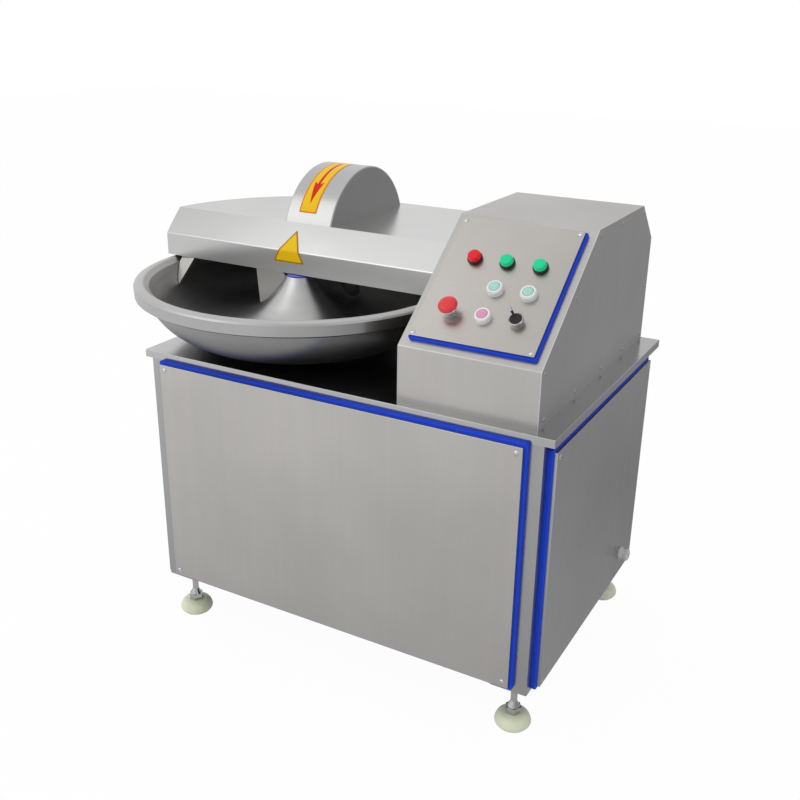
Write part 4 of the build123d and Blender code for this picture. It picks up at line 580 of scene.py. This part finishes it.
patch_left, patch_right, patch_foot, patch_tip = -0.312, -0.2265, -0.0275, 0.0575
patch_edge = 0.004
patch_middle = (patch_left + patch_right) / 2
sticker("hood_patch_edge",
        [(patch_left, patch_foot), (patch_right, patch_foot), (patch_middle, patch_tip)],
        finishes["sticker_amber"], edge_lift, 0.004, over_fold)
sticker("hood_patch", [(patch_left + 1.7 * patch_edge, patch_foot + patch_edge),
                       (patch_right - 1.7 * patch_edge, patch_foot + patch_edge),
                       (patch_middle, patch_tip - 2.1 * patch_edge)],
        finishes["sticker_yellow"], face_lift, 0.003, over_fold)

# ---------------------------------------------------------------- selector lever's bright tip
lever_tilt = radians(35)
lever_level = (Vector((-1, 0, 0)) + Vector(slope_up)).normalized()
lever_way = lever_level * cos(lever_tilt) + Vector(slope_out) * sin(lever_tilt)
lever_points = [vert.co for vert in nodes["selector_knob"].data.vertices]
lever_tip = bmesh.new()
tip_radius, tip_length, tip_edge, tip_stand = 0.0029, 0.009, 0.001, 0.0006
tip_profile = ([(0.0, 0.0), (tip_radius, 0.0)]
               + arc((tip_radius - tip_edge, tip_length - tip_edge), tip_edge, 0, 90, 4)
               + [(0.0, tip_length)])
put(lever_tip, lathe(lever_tip, tip_profile, 32),
    outer_end(lever_points, lever_way) - lever_way * (tip_length - tip_stand), lever_way)
piece("lever_tip", lever_tip, finishes["chrome"], "selector")


# ---------------------------------------------------------------- studio
white = (1.0, 1.0, 1.0, 1.0)
floor_size = 12.0
floor_glow_share = 0.97         # the rest of the floor takes light and shadow
floor_far_strength, floor_near_strength = 0.33, 1.0
floor_far, floor_near = -1.2, 2.3
room_dim, room_bright = 0.4, 1.0
room_dim_side, room_bright_side = -0.6, 0.5
camera_place = (1.0598, -1.9605, 1.4510)
camera_yaw, camera_pitch, camera_roll = 0.504, 0.381, 0.015
camera_lens, camera_sensor = 44.88, 36.0


def towards(tree, coordinates, way):
    """How far a place or a direction lies towards a way."""
    place = tree.nodes.new("ShaderNodeTexCoord")
    reach = tree.nodes.new("ShaderNodeVectorMath")
    reach.operation = "DOT_PRODUCT"
    reach.inputs[1].default_value = way
    tree.links.new(place.outputs[coordinates], reach.inputs[0])
    return reach.outputs["Value"]


def larger(tree, first, second):
    """The larger of two values."""
    node = tree.nodes.new("ShaderNodeMath")
    node.operation = "MAXIMUM"
    tree.links.new(first, node.inputs[0])
    tree.links.new(second, node.inputs[1])
    return node.outputs[0]


def studio_floor():
    """White to the camera; in reflections its glow is painted light that falls off away from the key light
    at the left front.
    """
    plane = bmesh.new()
    bmesh.ops.create_grid(plane, x_segments=1, y_segments=1, size=floor_size)
    mesh = bpy.data.meshes.new("floor")
    plane.to_mesh(mesh)
    plane.free()
    floor = bpy.data.objects.new("floor", mesh)
    bpy.context.scene.collection.objects.link(floor)
    material = bpy.data.materials.new("floor")
    material.use_nodes = True
    tree = material.node_tree
    tree.nodes.clear()
    output = tree.nodes.new("ShaderNodeOutputMaterial")
    mix = tree.nodes.new("ShaderNodeMixShader")
    lit = tree.nodes.new("ShaderNodeBsdfDiffuse")
    lit.inputs["Color"].default_value = (0.90, 0.90, 0.90, 1.0)
    glow = tree.nodes.new("ShaderNodeEmission")
    glow.inputs["Color"].default_value = white
    rays = tree.nodes.new("ShaderNodeLightPath")
    share = tree.nodes.new("ShaderNodeMath")
    share.operation = "MULTIPLY"
    share.inputs[1].default_value = floor_glow_share
    seen = larger(tree, rays.outputs["Is Camera Ray"], rays.outputs["Is Glossy Ray"])
    tree.links.new(seen, share.inputs[0])
    # Painted light: the floor's glow in reflections falls off away from the left front.
    falloff = ramp(tree, towards(tree, "Object", (-0.6, -0.8, 0.0)), floor_far_strength, floor_near_strength,
                   floor_far, floor_near)
    tree.links.new(larger(tree, falloff, rays.outputs["Is Camera Ray"]), glow.inputs["Strength"])
    tree.links.new(share.outputs[0], mix.inputs["Fac"])
    tree.links.new(lit.outputs["BSDF"], mix.inputs[1])
    tree.links.new(glow.outputs["Emission"], mix.inputs[2])
    tree.links.new(mix.outputs["Shader"], output.inputs["Surface"])
    floor.data.materials.append(material)


def studio_world():
    """White to the camera; reflections see a room that is brightest on the left."""
    world = bpy.data.worlds.new("studio")
    bpy.context.scene.world = world
    world.use_nodes = True
    tree = world.node_tree
    tree.nodes.clear()
    output = tree.nodes.new("ShaderNodeOutputWorld")
    level = ramp(tree, towards(tree, "Generated", (-0.85, -0.2, 0.45)), room_dim, room_bright,
                 room_dim_side, room_bright_side)
    room = tree.nodes.new("ShaderNodeBackground")
    room.inputs["Color"].default_value = white
    tree.links.new(level, room.inputs["Strength"])
    backdrop = tree.nodes.new("ShaderNodeBackground")
    backdrop.inputs["Color"].default_value = white
    rays = tree.nodes.new("ShaderNodeLightPath")
    mix = tree.nodes.new("ShaderNodeMixShader")
    tree.links.new(rays.outputs["Is Camera Ray"], mix.inputs["Fac"])
    tree.links.new(room.outputs["Background"], mix.inputs[1])
    tree.links.new(backdrop.outputs["Background"], mix.inputs[2])
    tree.links.new(mix.outputs["Shader"], output.inputs["Surface"])


def softbox(name, place, target, size, power):
    data = bpy.data.lights.new(name, "AREA")
    data.shape = "RECTANGLE"
    data.size, data.size_y = size
    data.energy = power
    lamp = bpy.data.objects.new(name, data)
    lamp.location = place
    lamp.rotation_euler = (Vector(target) - Vector(place)).to_track_quat("-Z", "Y").to_euler()
    bpy.context.scene.collection.objects.link(lamp)


def studio_camera():
    """The camera stands at the right front corner, above the hood, and looks down at the machine."""
    level_ahead = Vector((-sin(camera_yaw), cos(camera_yaw), 0.0))
    forward = level_ahead * cos(camera_pitch) - Vector((0, 0, 1)) * sin(camera_pitch)
    level_right = forward.cross(Vector((0, 0, 1))).normalized()
    level_up = level_right.cross(forward)
    right = cos(camera_roll) * level_right + sin(camera_roll) * level_up
    up = cos(camera_roll) * level_up - sin(camera_roll) * level_right
    data = bpy.data.cameras.new("camera")
    data.lens = camera_lens
    data.sensor_width = camera_sensor
    data.clip_end = 50.0
    camera = bpy.data.objects.new("camera", data)
    turn = Matrix((right, up, -forward)).transposed().to_4x4()
    camera.matrix_world = Matrix.Translation(camera_place) @ turn
    bpy.context.scene.collection.objects.link(camera)
    bpy.context.scene.camera = camera


studio_floor()
studio_world()
softbox("key", (-1.8, -2.2, 2.9), (0.0, 0.0, 0.8), (2.2, 2.2), 13.0)
softbox("fill", (2.6, -1.2, 1.8), (0.0, 0.0, 0.6), (1.6, 1.6), 5.0)
studio_camera()
bpy.context.scene.view_settings.view_transform = "Standard"
